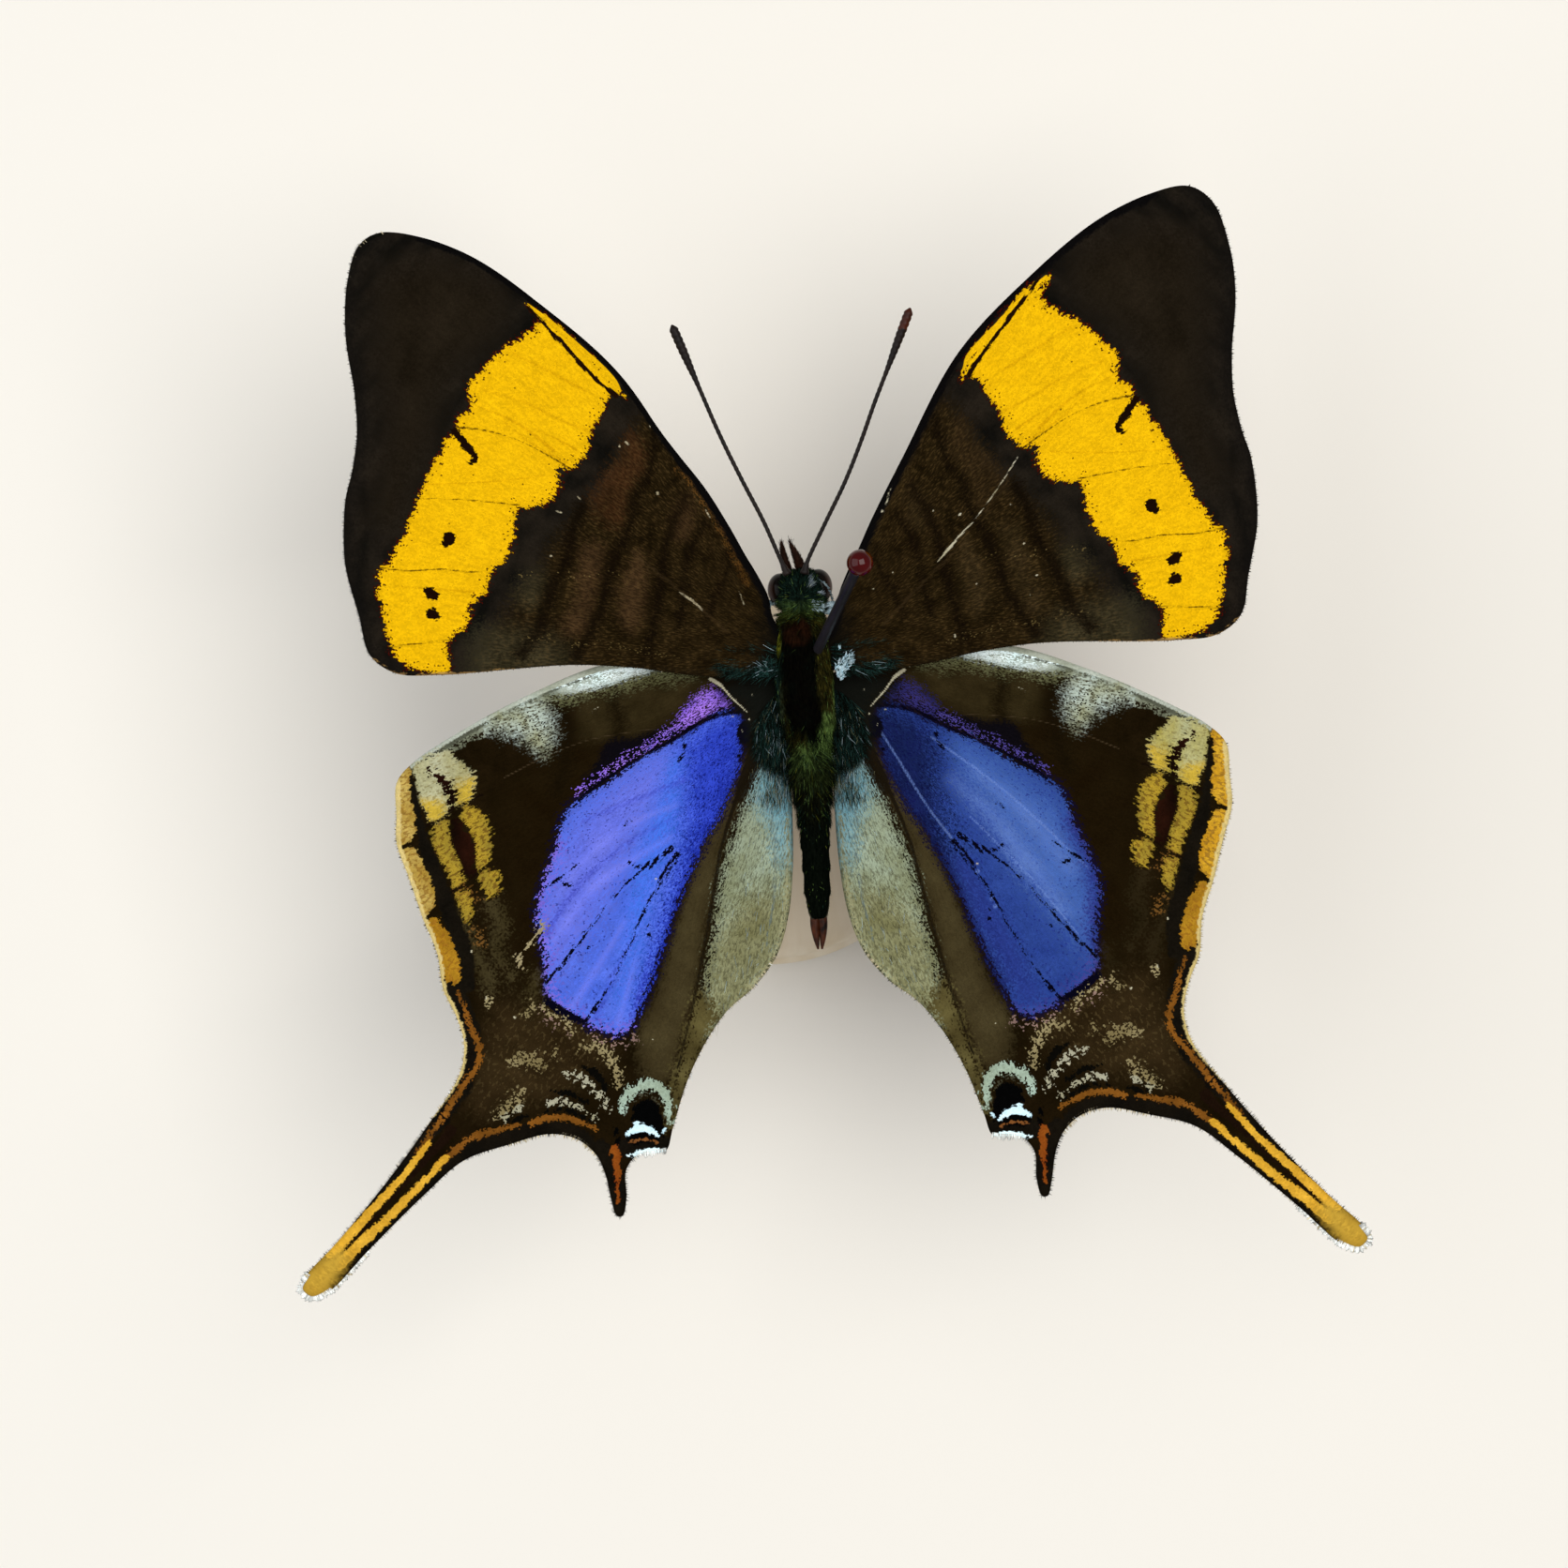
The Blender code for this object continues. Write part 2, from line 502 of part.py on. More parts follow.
def make_pin(thorax):
    """The insect pin leans as in the photo, goes through the thorax in a clear hole, and stands in the base."""
    lean = Vector(PIN_LEAN).normalized()
    head_end = Vector(PIN_ENTRY) + lean * PIN_OVER_THORAX
    point = head_end - lean * PIN_LENGTH
    bead_radius, bead_half = PIN_HEAD_RADII
    neck = head_end - lean * (bead_half + GAP)
    steel = material("pin_enamel", (0.02, 0.02, 0.025), 0.3)
    tube("pin_shaft", [point, point + lean * PIN_POINT, neck], [0.12, PIN_RADIUS, PIN_RADIUS], steel, sides=12)
    bead = ball("pin_head", (0, 0, 0), (bead_radius, bead_radius, bead_half), sides=14,
                finish=material("pin_bead", (0.25, 0.01, 0.01), 0.25))
    bead.data.transform(Matrix.Translation((0, -THORAX_Y * MM, 0)))
    bead.data.transform(lean.to_track_quat("Z", "Y").to_matrix().to_4x4())
    bead.data.transform(Matrix.Translation(placed([head_end])[0]))
    hole = tube("hole", [head_end - lean * PIN_LENGTH * 0.6, head_end], [HOLE_RADIUS] * 2, sides=12)
    apply_boolean(thorax, hole, "DIFFERENCE")
    return point, lean


def make_base(point, lean):
    """A plain turned disc with eased edges, and a blind hole for the pin's point."""
    sides = 48
    rings = [(0.0, BASE_RADIUS - BASE_BEVEL), (BASE_BEVEL, BASE_RADIUS), (BASE_THICK - BASE_BEVEL, BASE_RADIUS),
             (BASE_THICK, BASE_RADIUS - BASE_BEVEL)]
    points, faces = [], []
    for z, radius in rings:
        for k in range(sides):
            angle = 2 * math.pi * k / sides
            points.append((BASE_CENTRE[0] + radius * math.cos(angle), BASE_CENTRE[1] + radius * math.sin(angle), z))
    for i in range(len(rings) - 1):
        for k in range(sides):
            a, b = i * sides + k, i * sides + (k + 1) % sides
            faces.append((a, b, b + sides, a + sides))
    faces.append(tuple(reversed(range(sides))))
    faces.append(tuple(range((len(rings) - 1) * sides, len(rings) * sides)))
    base = add_object("stand_base", points, faces, material("stand_base", (0.75, 0.7, 0.6), 0.6))
    hole = tube("hole", [point - lean * GAP, point + lean * BASE_THICK * 2], [HOLE_RADIUS] * 2, sides=12)
    apply_boolean(base, hole, "DIFFERENCE")


def main():
    clear_scene()
    thorax = make_body()
    make_wings()
    make_feelers()
    make_legs()
    point, lean = make_pin(thorax)
    make_base(point, lean)
    for obj in bpy.data.objects:
        obj.data.shade_smooth()
        obj.data.set_sharp_from_angle(angle=math.radians(35))


main()
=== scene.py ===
# %% [markdown]
# A pinned daggerwing butterfly, seen from straight above, as a life-size museum model.
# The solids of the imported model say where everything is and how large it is.
# This lesson gives each of them its finished shape and surface: scaled wings, a hairy body,
# glossy eyes, thin feelers and legs, an enamelled pin and a small turned base.
# Everything is in metres in Blender, but a butterfly is best thought of in millimetres,
# so the lists below are in millimetres and are scaled where a mesh is made.

# %% Load the frame
import math

import bpy
import numpy as np
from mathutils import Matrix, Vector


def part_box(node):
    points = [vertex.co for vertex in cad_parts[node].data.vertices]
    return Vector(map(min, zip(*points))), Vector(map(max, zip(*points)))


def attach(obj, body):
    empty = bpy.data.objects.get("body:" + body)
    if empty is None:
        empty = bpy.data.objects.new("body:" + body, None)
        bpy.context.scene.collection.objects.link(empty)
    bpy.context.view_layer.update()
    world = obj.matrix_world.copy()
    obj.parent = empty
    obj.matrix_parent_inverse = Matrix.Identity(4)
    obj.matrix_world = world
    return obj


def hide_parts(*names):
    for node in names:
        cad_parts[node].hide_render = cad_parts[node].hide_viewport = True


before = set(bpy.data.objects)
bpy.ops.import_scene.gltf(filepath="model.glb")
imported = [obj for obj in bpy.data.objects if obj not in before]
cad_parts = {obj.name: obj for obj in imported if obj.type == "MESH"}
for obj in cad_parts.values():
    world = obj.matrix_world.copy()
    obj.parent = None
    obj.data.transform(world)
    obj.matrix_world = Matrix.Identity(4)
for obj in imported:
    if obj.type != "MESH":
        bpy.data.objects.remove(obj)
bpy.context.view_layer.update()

MM = 0.001

# %% [markdown]
# Where things are. Marks on the wings are placed from the middle of the thorax, where the forewings
# grow: outwards first, then forwards to the head. The thorax's own front face gives that place.

# %% Places from the frame
THORAX_FRONT = 0.5            # the thorax's front face is this far in front of the reference point
ROOT_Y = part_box("thorax")[1][1] / MM - THORAX_FRONT
BODY_Z = (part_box("thorax")[0][2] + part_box("thorax")[1][2]) / 2 / MM - 0.15
WING_Z = BODY_Z + 0.9
print("thorax reference", round(ROOT_Y, 2), "body line", round(BODY_Z, 2), "wing root", round(WING_Z, 2))

# %% [markdown]
# Two small tools are used all through: a smooth curve through a few chosen points, and the distance
# from many places to such a curve. A wing mark is then only a short list of points.

# %% Curves and distances
REACH = 2.5                   # distances are measured no farther than this


def curve_through(points, step=0.25, closed=False):
    """Evenly spaced points on a smooth curve that passes through the given ones."""
    p = np.array(points, float)
    if closed:
        p = np.vstack([p[-1:], p, p[:2]])
    else:
        p = np.vstack([2 * p[:1] - p[1:2], p, 2 * p[-1:] - p[-2:-1]])
    dense = []
    for p0, p1, p2, p3 in zip(p, p[1:], p[2:], p[3:]):
        k1 = np.linalg.norm(p1 - p0) ** 0.5
        k2 = k1 + np.linalg.norm(p2 - p1) ** 0.5
        k3 = k2 + np.linalg.norm(p3 - p2) ** 0.5
        t = np.linspace(k1, k2, 16, endpoint=False)[:, None]
        a1 = p0 + (p1 - p0) * t / k1
        a2 = p1 + (p2 - p1) * (t - k1) / (k2 - k1)
        a3 = p2 + (p3 - p2) * (t - k2) / (k3 - k2)
        b1 = a1 + (a2 - a1) * t / k2
        b2 = a2 + (a3 - a2) * (t - k1) / (k3 - k1)
        dense.append(b1 + (b2 - b1) * (t - k1) / (k2 - k1))
    dense = np.vstack(dense + [p[-2:-1]])
    gone = np.concatenate([[0], np.cumsum(np.linalg.norm(np.diff(dense, axis=0), axis=1))])
    count = max(3, round(gone[-1] / step))
    at = np.linspace(0, gone[-1], count + 1)
    if closed:
        at = at[:-1]
    return np.stack([np.interp(at, gone, dense[:, k]) for k in range(dense.shape[1])], axis=1)


def line_distance(at, line, half=0.0):
    """Distance from each place to an open line, less its half width there, or REACH if it is farther."""
    half = np.broadcast_to(half, len(line))
    best = np.full(len(at), REACH)
    near = np.all((at > line.min(0) - REACH) & (at < line.max(0) + REACH), axis=1)
    spots = at[near]
    found = best[near]
    for a, b, ha, hb in zip(line, line[1:], half, half[1:]):
        d = b - a
        t = np.clip((spots - a) @ d / max(d @ d, 1e-12), 0, 1)
        off = np.linalg.norm(spots - a - t[:, None] * d, axis=1) - (ha + (hb - ha) * t)
        found = np.minimum(found, off)
    best[near] = found
    return best


def inside(at, loop):
    found = np.zeros(len(at), bool)
    near = np.flatnonzero(np.all((at > loop.min(0)) & (at < loop.max(0)), axis=1))
    spots = at[near]
    for a, b in zip(loop, np.roll(loop, -1, axis=0)):
        if a[1] != b[1]:
            crosses = (a[1] > spots[:, 1]) != (b[1] > spots[:, 1])
            edge_x = a[0] + (spots[:, 1] - a[1]) * (b[0] - a[0]) / (b[1] - a[1])
            found[near] ^= crosses & (spots[:, 0] < edge_x)
    return found


def area_distance(at, loop):
    """Signed distance to a closed outline: negative inside it."""
    off = line_distance(at, np.vstack([loop, loop[:1]]))
    return np.where(inside(at, loop), -off, off)


test_circle = curve_through([(1, 0), (0, 1), (-1, 0), (0, -1)], closed=True)
print("centre of a circle of radius 1:", area_distance(np.zeros((1, 2)), test_circle).round(2))

# %% [markdown]
# The wings' outlines. The forewing has a blunt, hooked tip and a hollow outer edge. The hindwing
# runs out into a long tail and a short one. The points follow the solids' outlines.

# %% Wing outlines and veins
FOREWING_COSTA = [(1.3, 0.7), (1.72, 1.7), (1.88, 2.7), (2.3, 3.7), (3.05, 5.1), (3.8, 6.6), (5.6, 9.8),
    (8.8, 15.2), (12.8, 19.1), (16.5, 21.9), (19.4, 23.2)]
FOREWING_APEX = [(21.5, 23.5), (22.7, 22.6), (23.4, 20.5)]
FOREWING_TERMEN = [(23.65, 17.8), (23.3, 14.6), (23.25, 12.5), (23.6, 10.4), (24.05, 8.7), (24.2, 5.6),
    (23.6, 2.7)]
FOREWING_REAR = [(23.1, 0.6), (21.8, -0.4), (19.5, -0.6), (12.5, -0.4), (9.2, -0.7), (6, -1.25), (3.4, -1.4),
    (1, -1.1)]
FOREWING = FOREWING_COSTA + FOREWING_APEX + FOREWING_TERMEN + FOREWING_REAR

HINDWING_COSTA = [(1, -1.7), (4, -1), (7.5, -0.3), (11, -0.45), (14.7, -1.75), (18.5, -3.55), (21.2, -5.15)]
HINDWING_TERMEN = [(22.15, -6.2), (22.25, -8), (22.3, -9.4), (21.75, -11.3), (21.1, -13.5), (20.45, -15.4),
    (20.2, -17.35), (19.6, -18.8), (19.25, -20.3), (19.6, -22)]
LONG_TAIL_OUTER = [(21.5, -24.7), (24.0, -27.8), (26.7, -30.75)]
LONG_TAIL_TIP = [(28.2, -32.2), (28.65, -33.0), (28.1, -33.55), (27.1, -33.2)]
LONG_TAIL_INNER = [(24.9, -31.1), (21.7, -28.2), (19.6, -26.55)]
TAIL_BAY = [(17.1, -25.8), (15.0, -25.35), (13.5, -25.7), (12.5, -26.6), (12.05, -27.7)]
SHORT_TAIL = [(11.8, -29.1), (11.55, -29.95), (11.25, -29.95), (11.0, -29.0), (10.95, -27.5)]
TORNUS = [(10.3, -26.7), (9.4, -26.65), (8.75, -26.55)]
INNER_MARGIN = [(8.35, -25.4), (7.5, -23), (6.4, -20.9), (5.1, -19.2), (3.6, -18), (2.35, -16.4),
    (1.65, -14.4), (1.3, -12), (1.18, -9.5), (1.15, -7), (1.1, -6), (0.9, -5)]
HINDWING = (HINDWING_COSTA + HINDWING_TERMEN + LONG_TAIL_OUTER + LONG_TAIL_TIP + LONG_TAIL_INNER + TAIL_BAY
            + SHORT_TAIL + TORNUS + INNER_MARGIN)

FOREWING_VEINS = [
    [(2.2, 1.2), (5.0, 6.4), (7.4, 10.6), (9.8, 14.3), (13.7, 18.7), (17.2, 21.4)],
    [(2.4, 0.3), (5.7, 2.6), (7.4, 4.1), (9.4, 6.2), (10.8, 7.8), (12.6, 10.2), (17.6, 12.5), (22.5, 13.4)],
    [(8.6, 12.4), (10.6, 13.7), (14.7, 16.2), (19.0, 18.1), (22.8, 19.2)],
    [(9.0, 11.2), (11.4, 12.2), (16.7, 14.6), (20.3, 15.8), (22.7, 16.2)],
    [(9.7, 6.6), (11.9, 7.6), (14.6, 8.3), (19.9, 8.9), (23.3, 9.0)],
    [(7.1, 3.8), (11.0, 4.5), (16.5, 4.8), (21.8, 5.2), (23.5, 5.3)],
    [(2.6, -0.5), (6.0, 0.0), (9.9, 0.45), (14.5, 0.85), (19.2, 1.2), (22.4, 1.1)],
]
HINDWING_VEINS = [
    [(3.2, -2.0), (7.5, -1.5), (12.5, -2.3), (17.0, -4.1), (20.9, -6.2)],
    [(2.8, -2.9), (7.9, -4.0), (13.5, -5.1), (17.4, -6.8), (21.6, -9.2)],
    [(7.4, -4.6), (13.5, -8.4), (16.8, -10.6), (20.5, -13.2)],
    [(4.8, -5.4), (8.6, -7.9), (13.4, -11.7), (16.7, -14.5), (19.6, -17.0)],
    [(2.8, -4.0), (5.2, -7.2), (7.7, -10.2), (10.5, -12.6), (12.7, -14.9), (14.9, -17.8), (17.4, -21.3),
     (20.8, -25.9), (23.8, -29.1), (27.0, -32.2)],
    [(7.9, -11.4), (9.5, -14.4), (10.7, -16.7), (12.4, -19.3), (14.3, -22.3), (15.9, -24.9)],
    [(2.6, -5.0), (4.7, -8.5), (6.3, -11.1), (7.4, -13.6), (8.4, -16.6), (9.5, -19.2), (10.7, -21.7),
     (11.3, -24.4), (11.35, -28.9)],
    [(2.4, -5.9), (4.0, -8.6), (5.0, -10.9), (5.8, -13.7), (6.6, -17.9), (7.4, -21.0), (8.3, -23.6)],
]
print("forewing outline", len(FOREWING), "points, hindwing outline", len(HINDWING), "points")

# %% [markdown]
# The wings' rise. Each wing lifts a few degrees outwards and is gently arched, and the hindwing's
# inner panel bends down beside the abdomen. These are the same formulas as in the solids,
# so the thin skin lies in the middle of the thicker solid wing.

# %% How high the wing lies
HINDWING_DROP = 1.35
DIHEDRAL = math.radians(3.5)
VEIN_RISE = 0.075
PLEAT = 0.05                  # how far the membrane sags between two veins


def forewing_height(x, y):
    along = (x + y) / math.sqrt(2)
    across = (x - y) / math.sqrt(2)
    droop = np.maximum(0.0, np.abs(across - 3) - 2)
    return WING_Z + x * math.tan(DIHEDRAL) - 0.0011 * along ** 2 - 0.0035 * droop ** 2


def hindwing_height(x, y):
    along = np.hypot(x, y)
    inner = np.maximum(0.0, 5.5 - x)
    reach = np.clip((-4.0 - y) / 4, 0, 1)
    tail_lift = 0.25 * np.sin(np.maximum(0.0, -y - 18) / 15 * math.pi / 2)
    return (WING_Z - HINDWING_DROP + x * math.tan(DIHEDRAL) - 0.0008 * along ** 2
            - 0.045 * reach * inner ** 2 + tail_lift)


def relief(at, veins):
    """Raised veins, and the pleats between them."""
    off = np.min([line_distance(at, curve_through(vein, 0.5)) for vein in veins], axis=0)
    return VEIN_RISE * np.exp(-(off / 0.11) ** 2) + PLEAT * np.cos(np.minimum(off, 1.6) / 1.6 * math.pi)


print("forewing tip stands", round(float(forewing_height(21.5, 23.5)), 2), "mm above the table")

# %% [markdown]
# Colours are easiest to judge as the eye sees them, from 0 to 255, and Blender wants them linear.

# %% Colours


def tone(red, green, blue):
    """A colour as seen on a screen, turned into the linear values that a shader takes."""
    seen = np.array([red, green, blue]) / 255
    linear = np.where(seen <= 0.04045, seen / 12.92, ((seen + 0.055) / 1.055) ** 2.4)
    return (*(float(v) for v in linear), 1.0)


YELLOW_BAND = (214, 166, 8)
NEAR_BLACK = (11, 10, 8)
print("band yellow, linear:", [round(v, 3) for v in tone(*YELLOW_BAND)[:3]])

# %% [markdown]
# A wing mark is a layer of coloured scales. Each layer says its two tones, which blend in soft clouds,
# and how its edge breaks up: dither lets single scales fall on either side of the edge, ragged pushes
# it in and out in streaks that run the way the scales lie, and soft fades it. cover is the share
# of the scales that take the colour, so a low cover is a dusting.

# %% What a layer is


def area(*points):
    """A closed mark."""
    return lambda at: area_distance(at, curve_through(points, closed=True))


def stroke(half, *points):
    """A line mark. half is its half width, or the half width at its start and at its end."""
    line = curve_through(points) if len(points) > 2 else np.array(points, float)
    width = np.interp(np.linspace(0, 1, len(line)), np.linspace(0, 1, np.size(half)), np.atleast_1d(half))
    return lambda at: line_distance(at, line, width)


def dots(radius, *points):
    spots = np.array(points, float)
    return lambda at: np.min([np.linalg.norm(at - s, axis=1) for s in spots], axis=0) - radius


USUAL = {"dither": 0.15, "ragged": 0.15, "soft": 0.03, "strength": 1.0, "cover": 1.0, "grow": 0.0,
         "within": None, "only": None, "by": "Chance"}


def layers_for():
    """A new list of layers, and the function that adds one to it.

    A layer is given its field's name, one or two tones and its marks. right gives other tones for the right
    wing, only keeps it to one side, and by says what cover picks from: single scales by Chance, or dark or
    light streaks by Fleck or Light. A layer with no marks shares an earlier layer's field.
    """
    layers = []

    def add(field, *parts, right=None, **settings):
        marks = [part for part in parts if callable(part)]
        tones = [part for part in parts if not callable(part)]
        tones = (tones[0], tones[-1])
        layers.append({**USUAL, "field": field, "tones": tones, "right": right or tones, "marks": marks,
                       **settings})

    return layers, add


print("a dot of radius 1, seen from 3 away:", dots(1.0, (3.0, 0.0))(np.zeros((1, 2))))

# %% [markdown]
# The forewing: near-black beyond a broad yellow band, olive brown at the root. The ground is laid first,
# in soft clouds of brown, some of them reddish, with dark and light streaks among the scales.

# %% The ground of the forewing
FOREWING_LAYERS, forewing = layers_for()
forewing("distal", (30, 24, 16), (22, 17, 10),
    area((15.2, 19.6), (18.5, 21.4), (21.3, 20.8), (22, 17), (21.6, 13.5), (21.9, 10.5), (22.4, 8),
        (21.5, 7.6), (19.4, 12), (18.2, 15.2), (15.6, 17.6)), soft=1.6, dither=0.6)
forewing("brown", (38, 28, 12), (22, 15, 5),
    area((0.5, 2.5), (3.2, 6.2), (6, 10.6), (7.9, 12.6), (8.9, 11.6), (9.6, 10.2), (10.6, 8.8), (12, 7.4),
        (13, 6.2), (14, 4.6), (15.2, 3.2), (16.4, 1.6), (17.2, -0.6), (9, -1.2), (0.5, -1.6)), soft=0.8,
    dither=0.7)
forewing("olive", (66, 61, 42), (50, 46, 30),
    area((17.4, 1.5), (15.2, 1.7), (12.6, 0.5), (12.4, -0.7), (17.7, -0.8)),
    area((13.6, 4), (14.4, 2.8), (15, 3.2), (14.2, 4.6)), soft=0.9, dither=0.8, strength=0.5)
forewing("reddish", (74, 45, 24), (50, 31, 15),
    area((8.8, 11.8), (8.1, 11), (8.2, 9.9), (9.1, 8.6), (9.5, 7), (10.25, 7), (11, 8.3), (10.2, 9.5),
        (9.4, 10.4)), right=((52, 38, 21), (40, 29, 14)), soft=0.5, dither=0.5, ragged=0.4, strength=0.65)
forewing("warm", (70, 50, 30), (54, 38, 22),
    area((10.6, 5.8), (11.6, 5.9), (12, 3.4), (12.8, 1.4), (11.8, 1.2), (11, 3.4)),
    area((8.6, 5.4), (9.4, 4.2), (9.8, 2), (9.2, 1.2), (8.4, 3)),
    area((5.8, 8.4), (6.5, 7.6), (6.6, 6), (6, 6.2)), right=((54, 42, 24), (40, 31, 15)), soft=0.5,
    dither=0.6, ragged=0.4, strength=0.7)
forewing("brown", (6, 4, 2), by="Fleck", cover=0.4, soft=0.8, dither=0.5, strength=0.4)
forewing("brown", (96, 74, 42), (70, 54, 28), by="Light", cover=0.22, soft=0.8, dither=0.5, strength=0.22)
print("forewing layers:", len(FOREWING_LAYERS))

# %% [markdown]
# Darker wavy bars cross the brown, and the front edge and the outer margin are black.

# %% Bars and edges of the forewing
forewing("bars", (10, 6, 3), (14, 8, 4),
    stroke((0.2, 0.34), (7.4, 11.9), (7.9, 9.5), (8.7, 8.4), (9, 7), (9.8, 5.4), (10.3, 4.2), (10.8, 2.5),
        (11.5, 1.1), (12.2, 0.1)),
    stroke((0.3, 0.4), (11.5, 8), (12.2, 6.5), (12.6, 4.9), (13.2, 4), (13.7, 2.7), (14.2, 1.4), (15, 0.4)),
    stroke(0.26, (6, 8.2), (6.9, 6.5), (7.3, 5.2), (7.6, 3.5), (8, 1.7), (8.4, 0.1)),
    stroke(0.2, (5.1, 6.8), (5.7, 5.8), (6.2, 4.5), (6.4, 3), (6.7, 1.4)),
    stroke(0.16, (3.9, 5.2), (4.1, 3.9), (4.7, 2.9), (5.2, 1.5)), soft=0.36, dither=0.3, strength=0.84)
forewing("root_black", (12, 11, 8), area((0.5, 2.2), (2, 2.2), (2.5, 0.6), (2.7, -1.6), (0.5, -1.6)),
    soft=0.9, dither=0.5, strength=0.85)
forewing("costal_streak", (104, 70, 30), (70, 46, 18),
    stroke((0.1, 0.22, 0.2, 0.12), (6.3, 9.8), (5.5, 8.9), (4.55, 7.3), (3.77, 5.7), (3.37, 4.7), (3, 3.6)),
    right=((52, 40, 20), (40, 30, 14)), dither=0.4, soft=0.15, strength=0.85, cover=0.7)
forewing("costa_black", (9, 8, 8), stroke((0.35, 0.45, 0.45, 0.4, 0.4, 0.42, 0.4), *FOREWING_COSTA),
    dither=0.05, soft=0.12)
forewing("cubital", (58, 44, 26), (40, 30, 16),
    stroke((0.05, 0.04, 0.05, 0.03), (8.6, 5.1), (7.3, 3.9), (6, 2.8), (5.4, 2.2), (4.1, 0.9)),
    stroke(0.03, (11.1, 8.3), (10.6, 7.5), (9.9, 6.8)), dither=0.1, soft=0.05, strength=0.7)
forewing("gold_flecks", (116, 98, 58), (84, 70, 38), stroke(0.05, (15.5, 4.6), (12.4, 4.4), (9.8, 4.3)),
    stroke(0.07, (15.3, 1.1), (13.7, 1), (12, 0.7), (10.5, 0.5), (7, -0.2)), dither=0.3, ragged=0.3,
    cover=0.14, strength=0.6)
forewing("margin_black", (16, 14, 12), stroke(0.45, *FOREWING_APEX + FOREWING_TERMEN + FOREWING_REAR[:2]),
    soft=0.6, dither=0.2, strength=0.8)
print("forewing layers:", len(FOREWING_LAYERS))

# %% [markdown]
# The band's edges are frayed and rimmed with maroon. A narrow strip of it lies before the first vein.

# %% The yellow band
BAND = area((13.9, 19), (13.4, 18.4), (13.4, 17.8), (14.2, 17.2), (15.5, 16.4), (16.3, 15.6), (17.2, 14.6),
    (17.2, 13.4), (17.9, 12.9), (18, 12.4), (18.4, 11.9), (18.8, 11.3), (19.6, 9.9), (20.3, 8.5),
    (20.9, 7.1), (21.4, 6.3), (21.9, 5.4), (22.5, 5), (22.4, 3.4), (22.1, 1.5), (21.6, 0.3), (20.5, -0.3),
    (19.1, -0.4), (18.9, 0.2), (19.1, 0.9), (18.6, 1.4), (17.8, 2.2), (17.7, 3), (16.9, 3.6), (16.5, 4.7),
    (15.6, 5.5), (15.2, 6.7), (14.9, 8.1), (14.1, 8.1), (13.3, 8.3), (12.7, 9.1), (12.7, 10.1), (12.1, 10),
    (11.5, 10.4), (11.1, 11), (10.9, 12), (10.2, 12.9), (9.9, 13.7), (9.3, 14), (8.9, 13.8), (9.4, 14.9),
    (10.4, 16.1), (11.6, 17.4), (12.9, 18.6))
forewing("band", (70, 12, 4), (40, 8, 4), BAND, dither=0.3, ragged=0.3, soft=0.05, grow=0.1)
forewing("band", YELLOW_BAND, (208, 160, 7), dither=0.2, ragged=0.3)
forewing("band", (48, 16, 4), dither=0.2, ragged=0.3, cover=0.1, strength=0.9, grow=-0.05)
forewing("band", YELLOW_BAND, (208, 160, 7), dither=0.5, ragged=0.3, grow=-0.35)
forewing("band_front", YELLOW_BAND, (208, 160, 7),
    stroke((0.06, 0.2, 0.2, 0.2, 0.05), (9.1, 14.3), (9.26, 14.84), (10.82, 16.36), (13.18, 18.66),
        (13.72, 19.08)), dither=0.02, ragged=0.02)
print("forewing layers:", len(FOREWING_LAYERS))

# %% [markdown]
# Fine folds run through the band, painted as darker orange lines of shade; veins also run through it, and
# black dots and a hooked mark lie in it.

# %% Folds, veins and dots in the band
# painted shade: darker orange lines along the band's fine folds
forewing("band_folds", (176, 126, 4), stroke((0.03, 0.05), (14.9, 16.3), (13.1, 15.3), (11.1, 14.1)),
    stroke((0.02, 0.04), (16.4, 14.4), (14.1, 13.5), (12.8, 12.8), (11.1, 12)),
    stroke((0.02, 0.1), (16.7, 13.5), (15.2, 12.8), (14.1, 12.05), (12.9, 11)),
    stroke((0.02, 0.07), (13.8, 12.2), (12.7, 11.6), (11.7, 11)),
    stroke((0.02, 0.05), (15.5, 12.7), (14, 11.4), (12.2, 10.3)),
    stroke((0.02, 0.04), (19.8, 9.5), (16.4, 9.5), (13.5, 9.7)),
    stroke((0.02, 0.05), (21.6, 4.2), (19, 3.9), (17.4, 3.7)), soft=0.07, dither=0.03, ragged=0,
    strength=0.6)
forewing("band_veins", (46, 20, 4),
    stroke((0.05, 0.02, 0.05), (18, 12.5), (16.4, 12.2), (14.7, 11.6), (13.3, 10.8), (11.9, 9.9)),
    stroke((0.02, 0.03, 0.04), (20.1, 8.8), (17.6, 8.6), (14.8, 8.2)),
    stroke((0.04, 0.035, 0.03), (22.4, 5.2), (20.8, 5), (19.3, 5), (17.8, 4.8), (16.5, 4.7)),
    stroke(0.035, (22.1, 1), (21, 1.1), (18.7, 1.2)),
    dots(0.06, (14.8, 14.4), (14.1, 11.9), (17.2, 9.9), (18.6, 7.4), (14.6, 9.3)), soft=0.03, dither=0.02,
    ragged=0, strength=0.9)
forewing("front_left", (24, 10, 4),
    stroke((0.08, 0.14, 0.11, 0.13), (13.8, 18.8), (13.3, 18.1), (12.2, 16.8), (10.9, 15.2), (9.5, 13.8)),
    soft=0.03, dither=0.03, only="left")
forewing("front_right", (24, 10, 4),
    stroke((0.08, 0.13, 0.1, 0.12), (13.4, 19), (12.9, 18.45), (11.8, 17.1), (10.6, 15.7), (9.3, 14)),
    soft=0.03, dither=0.03, only="right")
